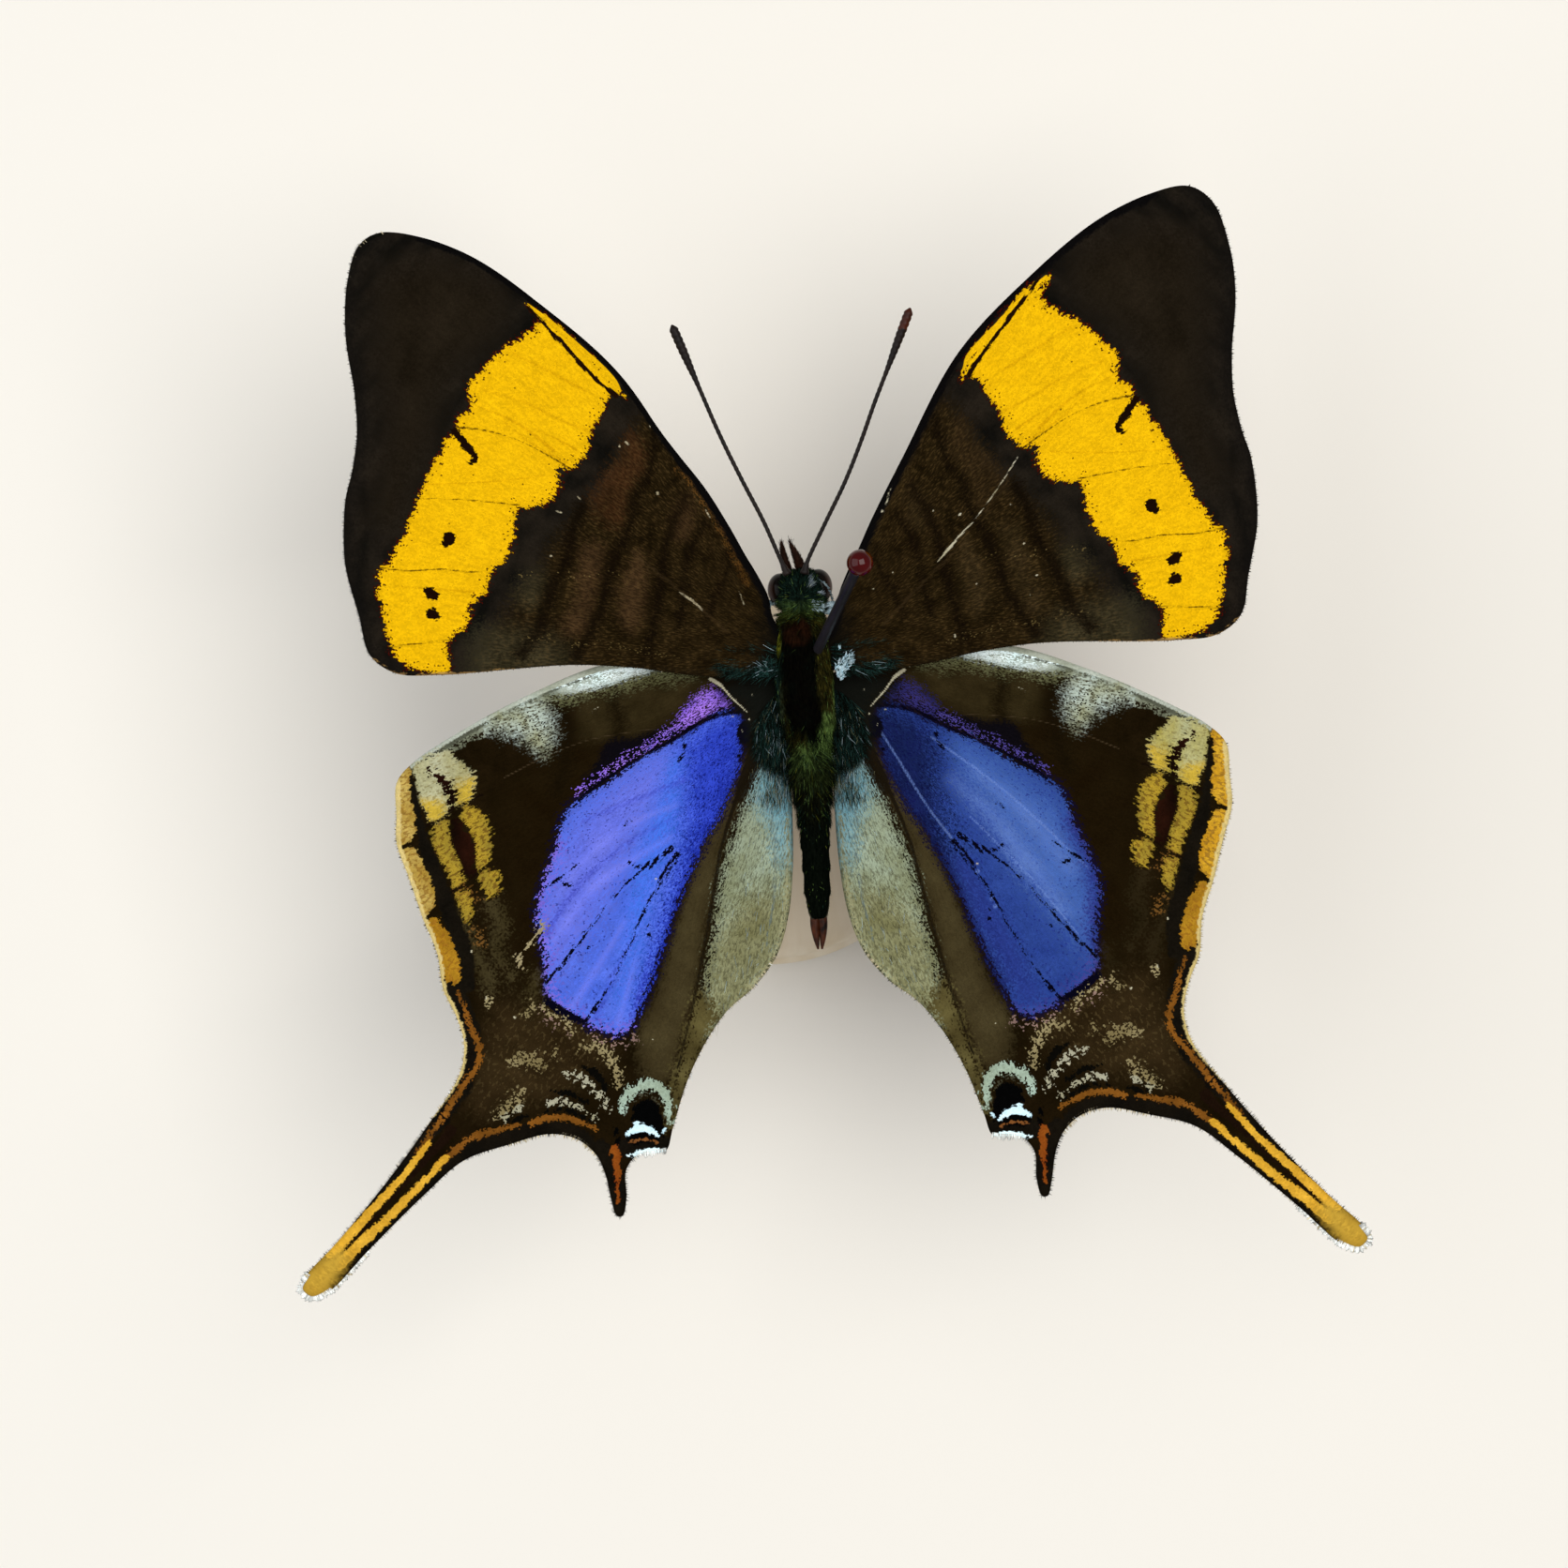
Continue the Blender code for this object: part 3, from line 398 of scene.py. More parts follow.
forewing("band_marks", (20, 8, 4),
    stroke((0.2, 0.22, 0.13), (18.1, 12.3), (17.7, 11.7), (17.25, 11.15), (17.05, 10.75), (17.3, 10.6)),
    stroke((0.33, 0.24), (18.6, 6.6), (18.8, 6.36)), stroke((0.34, 0.24), (19.8, 3.78), (19.56, 3.6)),
    stroke((0.32, 0.2), (19.74, 2.62), (19.5, 2.5)), dither=0.1, ragged=0.12)
print("forewing layers:", len(FOREWING_LAYERS))

# %% [markdown]
# Each forewing has its own few pale scratches and specks, where scales have come off.

# %% Scratches on the forewings
forewing("rear_line", (150, 118, 70),
    stroke((0.03, 0.07, 0.02), (23, 0.5), (21.8, -0.4), (19.5, -0.58), (15.5, -0.5)), dither=0.1,
    strength=0.7)
forewing("scratches_left", (196, 186, 156), (150, 138, 108),
    stroke((0.02, 0.05, 0.02), (3.4, 3.1), (3.2, 2.4)),
    stroke((0.015, 0.05, 0.02), (6.6, 3.2), (6, 2.8), (5.4, 2.2)), stroke(0.03, (5, 7.5), (4.8, 7.1)),
    dots(0.07, (13.3, 5.4), (7.5, 8.5), (7.5, 12.3), (9.4, 11.1)), stroke(0.035, (12.9, 7.8), (12.6, 7.7)),
    stroke(0.03, (11.75, 8.6), (11.6, 8.35)), stroke(0.03, (9.1, 11.3), (8.9, 11.15)), dither=0.03,
    ragged=0.05, strength=0.85, only="left")
forewing("scratches_right", (206, 200, 176), (150, 142, 112),
    stroke((0.02, 0.08, 0.05, 0.02), (7.2, 4.15), (7.9, 4.9), (8.6, 5.65), (9.2, 6.2)),
    stroke(0.02, (9.2, 6.2), (10.5, 7.8), (11.7, 9.5)),
    stroke((0.02, 0.05, 0.02), (5.25, 9.2), (4.9, 8.3), (4.6, 7.3)),
    dots(0.075, (11.8, 4.9), (8.5, 6.6), (7.9, 0.2), (4.4, 7)),
    dots(0.05, (7.1, 6.9), (4.8, 3.7), (12, 2.2), (9.2, 2.9), (3.7, 2.9), (11.2, 7), (12.4, 3.2)),
    dither=0.03, ragged=0.05, strength=0.85, only="right")
print("forewing layers:", len(FOREWING_LAYERS))

# %% [markdown]
# The hindwing: dark brown with a violet-blue patch, a silvery front edge, yellow spots and a yellow margin,
# and near the tails a row of small eyespots and pale crescents. Again the brown ground comes first.

# %% The ground of the hindwing
HINDWING_LAYERS, hindwing = layers_for()
hindwing("low", (50, 38, 20), (36, 26, 12),
    area((14.6, -18.6), (17.2, -18.4), (18.3, -20.6), (18.9, -23.8), (17.2, -23.9), (13.8, -22.9),
        (11.6, -20.9)), dither=0.9, soft=1.2, ragged=0.5, strength=0.8)
hindwing("low", (84, 70, 42), by="Light", cover=0.2, dither=0.5, soft=1.2, strength=0.28)
hindwing("strip", (60, 52, 31), (48, 40, 22),
    area((3.4, -5.6), (4.4, -6.8), (5.8, -9.2), (7.4, -13.8), (8.8, -17.8), (10, -20.4), (9.6, -22.5),
        (8.6, -23), (7.3, -19.7), (6.2, -15.5), (5.2, -11.2), (4.2, -8.1)), dither=0.5, soft=0.5, ragged=0.4)
hindwing("beyond", (20, 12, 3), (26, 18, 6),
    area((9.5, -5.2), (13, -4.6), (15.8, -6.2), (17.2, -8.4), (16.8, -11), (16.6, -14), (15.9, -17.2),
        (15.2, -18.6), (15, -14), (14.2, -10), (13.3, -8.2), (10.5, -6.4)), soft=0.9, dither=0.4,
    strength=0.85)
hindwing("front", (46, 38, 20), (34, 27, 12),
    area((5, -1.4), (9.5, -1.6), (12.2, -2.4), (12.4, -4.2), (9.6, -4.4), (6.4, -3.3)), soft=0.5, dither=0.5,
    strength=0.9)
hindwing("cross_bars", (18, 12, 4), stroke(0.4, (13.1, -2.6), (12.9, -3.7), (13.1, -5.2), (13.6, -7)),
    stroke(0.28, (10.2, -1.6), (10.4, -2.5), (10.1, -3.6), (10.3, -4.3)), soft=0.45, dither=0.3,
    strength=0.85)
print("hindwing layers:", len(HINDWING_LAYERS))

# %% [markdown]
# A near-black rim lies round the patch, with violet dust in front of it and pale scales at its foot.

# %% Round the patch
PATCH = area((3.6, -3.6), (3.7, -4.9), (3.95, -6.2), (4.5, -7.5), (5.2, -8.9), (6, -10.2), (6.9, -11.9),
    (7.8, -13.9), (8.5, -15.8), (9.2, -17.6), (9.9, -19.1), (10.5, -20), (11.2, -20.2), (12.2, -19.8),
    (13.3, -19.1), (14.5, -18.2), (14.8, -17.3), (14.7, -16), (14.9, -14.9), (15, -13.4), (14.5, -11.7),
    (13.8, -10), (13.3, -8.4), (12.4, -7.6), (10.8, -6.7), (8.9, -5.4), (7, -4.5), (5.6, -3.7), (4.4, -3.2))
hindwing("patch", (14, 10, 34), PATCH, dither=0.45, ragged=0.3, soft=0.1, grow=0.28, strength=0.9)
hindwing("front_black", (10, 8, 12),
    area((12.4, -7), (11.3, -5.4), (10.9, -4.6), (9, -4.3), (7.2, -3.7), (5.2, -3.1), (6.6, -4.2),
        (7.8, -4.8), (9.9, -6), (11.8, -7.3)), dither=0.3, soft=0.2)
hindwing("front_vein", (64, 52, 36),
    stroke((0.04, 0.03, 0.02), (16.4, -6.2), (14.3, -5.25), (11.8, -4.4), (9.6, -4.1), (7.8, -3.95)),
    dither=0.02, ragged=0, soft=0.03, strength=0.8)
# the violet dust and the violet at the root are painted darker on the right wing, because that wing meets the
# light differently
hindwing("front_dust", (140, 104, 206), (100, 78, 186),
    stroke((0.16, 0.24, 0.3), (12.6, -7.1), (11, -6.15), (9.5, -5.3), (8, -4.5), (7, -3.9)), dither=0.4,
    ragged=0.3, cover=0.4, right=((72, 62, 132), (56, 50, 112)))
hindwing("front_root", (150, 108, 214), (112, 80, 192),
    area((6.3, -2.6), (5.2, -1.9), (4.5, -2.3), (4.2, -2.9), (5.3, -3.3), (6.8, -3.9), (7, -3.4)),
    dither=0.5, ragged=0.4, cover=0.7, right=((44, 40, 96), (26, 26, 66)))
hindwing("patch_foot", (150, 122, 112), (112, 90, 84),
    stroke((0.1, 0.16, 0.1), (15.4, -18.3), (14.6, -19.1), (13.6, -20)),
    stroke(0.14, (10.2, -20.5), (11.3, -20.7), (12.2, -20.4)), dither=0.5, ragged=0.6, cover=0.4,
    strength=0.8)
print("hindwing layers:", len(HINDWING_LAYERS))

# %% [markdown]
# The right patch is a deeper blue than the left one, because the two wings meet the light differently.

# %% The violet-blue patch
hindwing("patch", (62, 88, 190), (74, 98, 198), PATCH, dither=0.4, ragged=0.3,
    right=((40, 62, 128), (34, 54, 120)))
hindwing("patch_violet", (96, 104, 200), (86, 96, 194),
    area((7.6, -5.4), (9.2, -6), (11.4, -7.6), (13.2, -9.4), (14.4, -12), (14.8, -15), (14.4, -17),
        (12.8, -15), (11.2, -12.6), (9.6, -9.8), (8.2, -7.4)), soft=1.1, dither=1.2, strength=0.9,
    within="patch", right=((54, 82, 146), (62, 92, 158)))
hindwing("patch_root", (24, 40, 152), (38, 58, 180),
    area((3.2, -3.2), (5.4, -3.6), (6.8, -5), (6.9, -7.6), (7.2, -10.2), (7.9, -12.6), (8.6, -15.2),
        (9.6, -18.6), (8.6, -18), (7.2, -14.4), (5.6, -11.4), (4, -8.4), (3.3, -5.6)), soft=1.1, dither=1.2,
    strength=0.85, within="patch", right=((9, 12, 38), (16, 22, 60)))
hindwing("patch_inner", (22, 34, 132), (32, 46, 156),
    stroke((0.2, 0.45, 0.4, 0.3, 0.2), (3.8, -4.4), (4.5, -7.4), (6, -10.2), (7.7, -13.9), (9, -17.2),
        (9.9, -19.2)), soft=0.5, dither=0.9, strength=0.75, cover=0.8, within="patch",
    right=((14, 18, 56), (22, 28, 78)))
hindwing("patch_edge", (128, 102, 206), (106, 84, 184),
    stroke(0.4, (10.2, -20.1), (11.2, -20.3), (12.3, -19.9), (13.4, -19.2), (14.6, -18.2), (14.9, -17),
        (14.8, -15.4), (15.1, -13.5), (14.6, -11.6), (13.9, -10)), soft=0.45, dither=0.9, ragged=0.4,
    strength=0.75, cover=0.75, within="patch", right=((70, 62, 136), (54, 54, 124)))
hindwing("patch", (22, 24, 96), PATCH, dither=0.3, ragged=0.2, cover=0.04, grow=-0.2, strength=0.6)
hindwing("patch_root", (8, 12, 84), dither=2.5, soft=0.8, cover=0.2, strength=0.75, within="patch",
    right=((8, 10, 48), (12, 14, 60)))
print("hindwing layers:", len(HINDWING_LAYERS))

# %% [markdown]
# Shallow folds are painted in light and shade: pale blue and violet highlights and darker fold lines on the
# left patch, duller ones on the right.

# %% Painted light and shade of the folds on the patches
# painted highlight: a brighter blue band down the middle of the left patch
hindwing("patch_glow", (56, 108, 212), (54, 98, 206),
    stroke((0.3, 0.75, 0.5, 0.2), (7.3, -5.9), (8, -8.6), (9.3, -12.4), (10.2, -16.2), (10.9, -18.8)),
    soft=0.5, dither=0.8, cover=0.85, strength=0.6, within="patch", only="left")
# painted highlights: pale blue and violet streaks on the left patch's folds
hindwing("folds_left", (120, 126, 224), (104, 114, 216),
    stroke((0.02, 0.2, 0.1), (7.4, -8.1), (9.6, -8.9), (11.9, -10.4), (13.9, -12.6)),
    stroke((0.02, 0.24, 0.1), (7.7, -9.8), (9.8, -10.9), (12, -12.3), (14.2, -15)),
    stroke((0.02, 0.16), (10.4, -14.2), (12.2, -16.9), (13.4, -18.6)),
    stroke((0.02, 0.12), (9.9, -16.2), (11, -19.6)), soft=0.28, dither=0.15, strength=0.55, within="patch",
    only="left")
# painted shade: darker blue lines in the left patch's folds
hindwing("creases_left", (44, 62, 174), (52, 54, 162),
    stroke((0.02, 0.12), (7.6, -8.8), (10.2, -10.1), (12.8, -12.2), (14.6, -14.6)),
    stroke((0.1, 0.02), (6.9, -6.8), (9.2, -7.6), (12.4, -8.7)),
    stroke((0.02, 0.12), (9.9, -15), (11.2, -17.2), (12.2, -19.3)),
    stroke((0.02, 0.1), (9, -15.8), (10.2, -19.4)), soft=0.2, dither=0.15, strength=0.6, within="patch",
    only="left")
# painted highlights: pale streaks across the right patch
hindwing("light_right", (98, 126, 190), (80, 106, 172),
    stroke((0.05, 0.35, 0.5, 0.1), (7.6, -7.4), (9.6, -9.6), (11.4, -12.2), (13.2, -14.8)),
    stroke((0.02, 0.25, 0.2), (8.6, -7), (11.2, -9.4), (13.6, -12.4)), soft=0.75, dither=0.7, strength=0.62,
    within="patch", only="right")
hindwing("veins_right", (106, 132, 194), stroke(0.06, (6.5, -5.1), (10.4, -8.3), (14.5, -12.5)),
    stroke(0.06, (3.8, -4.7), (6.3, -9.1), (7.5, -10.8)),
    stroke(0.05, (8.3, -9.4), (11.2, -12.6), (13.8, -16)),
    dots(0.13, (9.3, -13.9), (9.45, -14.3), (8.6, -12.4)), soft=0.03, dither=0.05, ragged=0, strength=0.42,
    within="patch", only="right")
# painted shade: darker blue over parts of the right patch
hindwing("dim_right", (30, 42, 108), (36, 50, 118),
    stroke((0.3, 0.7, 0.5), (7.8, -12), (9.6, -16), (11, -19)),
    stroke((0.2, 0.3), (13.6, -10), (14.8, -13.4), (14.6, -16.6)), soft=0.5, dither=0.8, strength=0.85,
    within="patch", only="right")
print("hindwing layers:", len(HINDWING_LAYERS))

# %% [markdown]
# Black veins cross the patch. They are broken, because some of their scales are gone.

# %% Veins and specks in the patch
hindwing("patch_marks", (6, 5, 18),
    stroke((0.09, 0.07, 0.05), (3.6, -3.2), (5.5, -3.6), (7, -4.4), (9.2, -5.5), (11, -6.5), (12.5, -7.6)),
    stroke((0.2, 0.24, 0.14), (14.8, -18.2), (13.9, -18.9), (12.9, -19.4)),
    stroke((0.12, 0.03, 0.035, 0.05, 0.09), (7.7, -10.4), (9.1, -11.3), (10.5, -12.5), (11.8, -13.9),
        (12.9, -15.2), (13.8, -16.3), (14.7, -17.2)),
    stroke((0.13, 0.06, 0.03, 0.04, 0.09), (7.4, -10.7), (8.2, -11.8), (8.8, -12.8), (9.4, -13.9),
        (10.2, -15.5), (11.2, -17.2), (12.6, -19.4)),
    stroke((0.03, 0.12, 0.06), (10.1, -11), (9.3, -11.35), (8.7, -11.1), (7.9, -10.5)),
    stroke((0.05, 0.15, 0.03), (7.5, -10.5), (7.7, -11.2), (8.2, -11.7)),
    stroke((0.05, 0.03), (6.8, -4.6), (6.8, -5.2), (7.1, -5.8)), stroke(0.03, (9.8, -8.8), (10.4, -9.15)),
    stroke(0.035, (12.6, -10.9), (13.6, -11.6), (14.3, -12.1)),
    dots(0.09, (13.2, -12.1), (13.5, -12), (12.4, -15.5), (9.1, -14.5), (9.15, -14.9), (3.9, -5.6)),
    area((3.2, -3.9), (3.7, -3.8), (3.9, -4.4), (3.7, -5), (3.3, -4.9)), dither=0.12, ragged=0.16)
print("hindwing layers:", len(HINDWING_LAYERS))

# %% [markdown]
# The hindwing's front edge is a silvery line, with two pale clouds behind it.

# %% The silvery front edge
hindwing("broad_fade", (104, 106, 74), (84, 84, 54),
    area((13.6, -2.3), (11.4, -1.9), (10.4, -1.8), (8.8, -1.5), (6.4, -1.3), (5.8, -0.9), (8.6, -0.6),
        (11, -0.3), (13.6, -1.3)), dither=0.6, ragged=0.4, soft=0.45, cover=0.8)
hindwing("broad_fade", (48, 42, 26), by="Fleck", cover=0.36, soft=0.4, dither=0.5, strength=0.6)
hindwing("broad_pale", (242, 255, 255), (218, 240, 240),
    area((14.2, -1.6), (11.6, -0.45), (11, -0.3), (7.9, -0.6), (9.4, -1.05), (10.8, -1.45), (12, -1.65),
        (13.1, -1.75)), dither=0.25, ragged=0.2, soft=0.3)
hindwing("costa_pale", (136, 142, 122), (104, 108, 86),
    stroke((0.1, 0.3, 0.25, 0.12), (10, -0.9), (12.8, -1.5), (15.2, -2.45), (17.5, -3.5), (19.6, -4.55),
        (21, -5.4)), dither=0.5, ragged=0.3, soft=0.15, strength=0.75)
hindwing("costa_dark", (66, 68, 56),
    stroke((0.05, 0.1, 0.08), (11.5, -0.95), (14.8, -2.13), (18.3, -3.8), (20.9, -5.3)), dither=0.05,
    ragged=0.05, strength=0.85)
hindwing("costa_silver", (166, 172, 160), (150, 156, 140),
    stroke((0.24, 0.28, 0.2, 0.17, 0.16), (8, -0.35), (11, -0.5), (14.7, -1.8), (18.5, -3.6), (21.2, -5.2),
        (22.1, -6.1)), dither=0.03, ragged=0)
hindwing("pale_patch", (190, 206, 198), (150, 154, 124),
    area((15.7, -2.5), (14.3, -2.2), (13.8, -3.3), (13.9, -4.4), (14.4, -4.9), (15.2, -4.2), (16.4, -3.7),
        (17.2, -3.3), (16.8, -2.9)), dither=0.6, ragged=0.5, soft=0.6, strength=0.85, cover=0.82)
hindwing("pale_patch", (64, 58, 34), by="Fleck", cover=0.36, soft=0.5, dither=0.5, strength=0.7)
print("hindwing layers:", len(HINDWING_LAYERS))

# %% [markdown]
# The panel beside the abdomen is pale, teal near the body and tan near the tails,
# and a dark line of painted shade along the fold divides it from the rest.

# %% The inner panel
hindwing("panel", (142, 154, 132), (120, 126, 98),
    area((2.5, -6.1), (0.6, -7.4), (0.6, -9.4), (0.8, -10.9), (1.2, -13.4), (1.7, -15), (2.4, -16.9),
        (3.4, -18.2), (4.8, -19.3), (6.2, -20.8), (6.7, -20.9), (6.3, -18.3), (5.6, -15.1), (5, -11.9),
        (4, -9.2), (3.1, -7.3)), dither=0.7, ragged=0.5, soft=0.25)
hindwing("panel_tan", (120, 114, 72), (96, 90, 50),
    area((1.2, -13.8), (3, -13), (5.2, -14.5), (6.4, -18.5), (6.8, -21), (4.8, -19.4), (2.4, -17)), soft=0.9,
    dither=0.9, strength=0.7, within="panel")
hindwing("panel_teal", (112, 166, 184), (98, 146, 162),
    area((2.6, -6), (0.8, -7), (0.8, -10), (1.3, -12), (1.8, -11.6), (2.3, -9.6), (3.1, -7.8)), soft=0.8,
    dither=0.8, strength=0.88, within="panel")
hindwing("panel_rim", (160, 158, 122), (132, 128, 88),
    stroke((0.08, 0.16, 0.22, 0.1), (1.5, -9), (1.6, -12.6), (2.3, -16.2), (4.8, -19), (6.4, -20.8)),
    dither=0.4, soft=0.1, strength=0.8)
hindwing("panel_dark", (46, 44, 26), stroke((0.3, 0.2), (2.2, -6.6), (1.4, -7.2)), soft=0.15, dither=0.5,
    cover=0.5, strength=0.7, within="panel")
hindwing("panel", (60, 58, 38), by="Fleck", cover=0.34, soft=0.25, dither=0.7, strength=0.5)
# painted shade: a darker line along a fold in the pale panel
hindwing("panel_fold", (92, 106, 104),
    stroke((0.02, 0.05, 0.02), (2.4, -7.6), (2.2, -10.4), (2.35, -13), (2.9, -15.8)), dither=0.1, soft=0.05,
    strength=0.7)
hindwing("inner_low", (88, 80, 46), (62, 54, 28),
    area((6.5, -18.2), (7.2, -19.8), (7.9, -22), (8.5, -23.4), (8.6, -25.6), (8.2, -25.2), (7.3, -22.8),
        (6.2, -20.6), (5.6, -19.6)), dither=0.8, ragged=0.5, soft=0.35)
# painted shade: a dark line in the fold between the panel and the rest of the wing, wider near the root
hindwing("crease", (20, 15, 8),
    stroke((0.16, 0.07, 0.06, 0.04), (3.2, -5.4), (4.2, -8.1), (5, -10.4), (5.6, -13), (6.3, -16.2),
        (7.1, -19.4), (7.9, -22.2)), stroke((0.25, 0.1), (2.9, -5.6), (3.4, -7), (3.9, -8)), dither=0.06,
    ragged=0.08, strength=0.9)
hindwing("root_dark", (16, 17, 14),
    area((0.5, -1.5), (4.2, -1.6), (4.6, -2.3), (3.6, -3.3), (3.3, -5.2), (2.4, -6.3), (0.5, -6.8)),
    soft=0.7, dither=0.8)
print("hindwing layers:", len(HINDWING_LAYERS))

# %% [markdown]
# Behind the front edge stand two rows of yellow spots, paler in front, with brown between them.

# %% Yellow spots
hindwing("olive_fade", (70, 62, 38), (54, 46, 24),
    stroke((0.35, 0.25, 0.15), (17.4, -13), (17, -14), (17.3, -15.2), (16.6, -16.8)),
    stroke(0.3, (19.2, -13.6), (18.4, -15.4), (17.7, -17.2)), stroke(0.25, (15.3, -17), (15.5, -18.4)),
    right=((44, 36, 20), (32, 26, 12)), dither=0.9, soft=0.5, ragged=0.5, strength=0.7)
hindwing("spots_pale", (166, 166, 136), (142, 136, 90),
    area((21.25, -5.45), (20.7, -4.98), (20.1, -4.72), (19.4, -4.6), (18.75, -5.25), (18.1, -5.8),
        (18.1, -6.7), (18.35, -7.4), (18.95, -7.6), (19.6, -8.05), (20, -8.4), (20.45, -8.4), (20.7, -7.8),
        (21, -7.2), (21.1, -6.4)), dither=0.2, ragged=0.3, soft=0.08,
    right=((156, 156, 116), (150, 138, 62)))
hindwing("spots_low", (180, 152, 52), (162, 138, 50),
    area((21, -7.3), (20.3, -7.1), (19.8, -7.3), (19.5, -8.2), (20, -8.6), (20.8, -8.5)),
    area((19.2, -6.8), (18.5, -6.2), (18, -6.2), (18.1, -7.6), (18.9, -7.8)), dither=0.3, ragged=0.3,
    soft=0.4, within="spots_pale")
hindwing("spots_yellow", (158, 130, 38), (126, 108, 38),
    area((19.5, -8.25), (20.1, -8.5), (20.45, -9), (20.3, -9.8), (20.05, -10.5), (19.7, -11.1),
        (19.45, -11.8), (19.1, -11.9), (18.7, -11.6), (18.8, -10.9), (19.1, -10.2), (19.35, -9.5),
        (19.45, -8.8)),
    area((18.85, -8.05), (18.6, -7.65), (18.1, -7.75), (17.6, -8.15), (17.35, -8.8), (17.25, -9.5),
        (17.4, -10.5), (17.7, -11), (18.1, -11.1), (18.15, -10.2), (18.25, -9.3), (18.55, -8.7)),
    area((18.05, -11.45), (17.7, -11.1), (17.1, -11.1), (16.95, -11.8), (17.1, -12.4), (17.5, -12.55),
        (17.85, -12)),
    area((19.2, -12.35), (18.85, -12.05), (18.55, -12.3), (18.55, -13.5), (18.8, -13.9), (19.05, -13.2)),
    dither=0.2, ragged=0.35, soft=0.08)
hindwing("spots_yellow", (84, 56, 20), by="Fleck", cover=0.34, soft=0.08, dither=0.3, strength=0.7)
hindwing("spots_pale", (112, 100, 58), by="Fleck", cover=0.24, soft=0.08, dither=0.3, strength=0.55)
hindwing("spot_brown", (34, 14, 7), (16, 7, 4),
    stroke((0.05, 0.17, 0.26, 0.16), (20.5, -5.6), (19.9, -6), (19.4, -6.6), (19.2, -7.2), (19.25, -7.75)),
    area((19.3, -8.3), (18.9, -8.4), (18.6, -8.9), (18.25, -9.5), (18.2, -10.8), (18.2, -11.3),
        (18.7, -11.4), (19, -10.5), (19.3, -9.6), (19.4, -8.8)), dither=0.25, ragged=0.4, soft=0.06)
hindwing("spot_veins", (18, 10, 5),
    stroke((0.07, 0.04), (20.7, -8.55), (19.8, -8.2), (19.1, -7.7), (18.3, -7.35), (17.6, -7)),
    stroke((0.07, 0.04), (19.6, -12.2), (18.6, -11.65), (18.1, -11.25), (17, -10.7)), dither=0.03,
    ragged=0.05)
hindwing("faint_spots", (120, 82, 36), stroke(0.15, (18.4, -14.3), (18, -15)),
    stroke(0.1, (19, -12), (18.2, -12.6)), dither=0.6, soft=0.2, ragged=0.5, cover=0.6, strength=0.6)
print("hindwing layers:", len(HINDWING_LAYERS))

# %% [markdown]
# The margin is yellow in front and a thin orange line farther back, in a black border. The line runs out
# into the long tail as two yellow stripes. A cream thread edges it all.

# %% The margin and the long tails
hindwing("border", (12, 10, 7), (20, 16, 10),
    stroke((0.1, 0.15, 0.28, 0.4, 0.42, 0.46, 0.5, 0.45), (21.45, -5.5), (21.25, -7), (21.05, -8.4),
        (20.8, -9.7), (20.4, -10.9), (20, -12.2), (19.55, -13.8), (19.05, -15.4), (19, -17.2)),
    stroke((0.9, 0.95, 0.85, 0.7, 0.62), (20.2, -16.9), (19.6, -18.8), (19.25, -20.3), (19.6, -22),
        (21.5, -24.7), (24, -27.8)), stroke((0.62, 0.4, 0.12), (24, -27.8), (26, -30), (27.2, -31.2)),
    stroke((0.12, 0.5, 0.75, 0.8, 0.8, 0.5), (26.2, -32.3), (24.9, -31.1), (21.7, -28.2), (19.6, -26.55),
        (17.1, -25.8), (15, -25.35), (13.5, -25.7), (12.5, -26.6)),
    stroke((0.8, 0.6, 0.6), (12.3, -26.6), (11.6, -28.2), (11.4, -30)),
    stroke(0.55, (10.9, -26.3), (9.8, -26.4), (8.8, -26.3)), dither=0.12, ragged=0.15, soft=0.08)
hindwing("margin_yellow", (178, 154, 84), (148, 118, 44),
    area((22.6, -5.8), (21.5, -5.4), (21.46, -6.8), (21.37, -7.4), (21.27, -8.2), (21.35, -9), (21.75, -9.4),
        (22.15, -9.6), (22.8, -9.4)),
    area((22.6, -9.6), (22, -9.8), (21.5, -9.6), (21.2, -10), (20.98, -10.5), (20.75, -11.1), (20.55, -11.7),
        (20.4, -12.2), (20.45, -12.8), (20.8, -13.2), (21.2, -13.5), (21.8, -13), (22.4, -11.4)), dither=0.1,
    ragged=0.2, right=((192, 150, 42), (172, 124, 24)))
hindwing("margin_gold", (162, 120, 30), (138, 98, 22),
    area((21, -13.75), (20.5, -13.45), (20.1, -13.85), (19.75, -14.5), (19.4, -15.5), (19.2, -16.4),
        (19.35, -16.9), (19.9, -17), (20.4, -16.2), (20.8, -15), (21.1, -14.1)), dither=0.15, ragged=0.25)
hindwing("margin_yellow", (120, 86, 32), by="Fleck", cover=0.4, strength=0.7)
hindwing("margin_gold", (132, 88, 24), by="Fleck", cover=0.33, strength=0.7)
hindwing("orange_line", (126, 78, 25), (92, 56, 16),
    stroke((0.07, 0.16, 0.17, 0.15, 0.16), (19.5, -17.5), (19.1, -18.5), (18.85, -19.4), (18.5, -20.35),
        (18.45, -21.1), (18.8, -21.8), (19.4, -22.5), (20.15, -23.6), (21, -24.7), (22, -26)),
    stroke((0.08, 0.19, 0.16), (12.4, -25.2), (13.2, -24.8), (14.2, -24.5), (15.2, -24.5), (15.9, -24.7)),
    stroke((0.12, 0.18, 0.2), (16.6, -24.8), (18.3, -25.1), (19.1, -25.35), (19.8, -25.8), (20.8, -26.6)),
    dither=0.2, ragged=0.12)
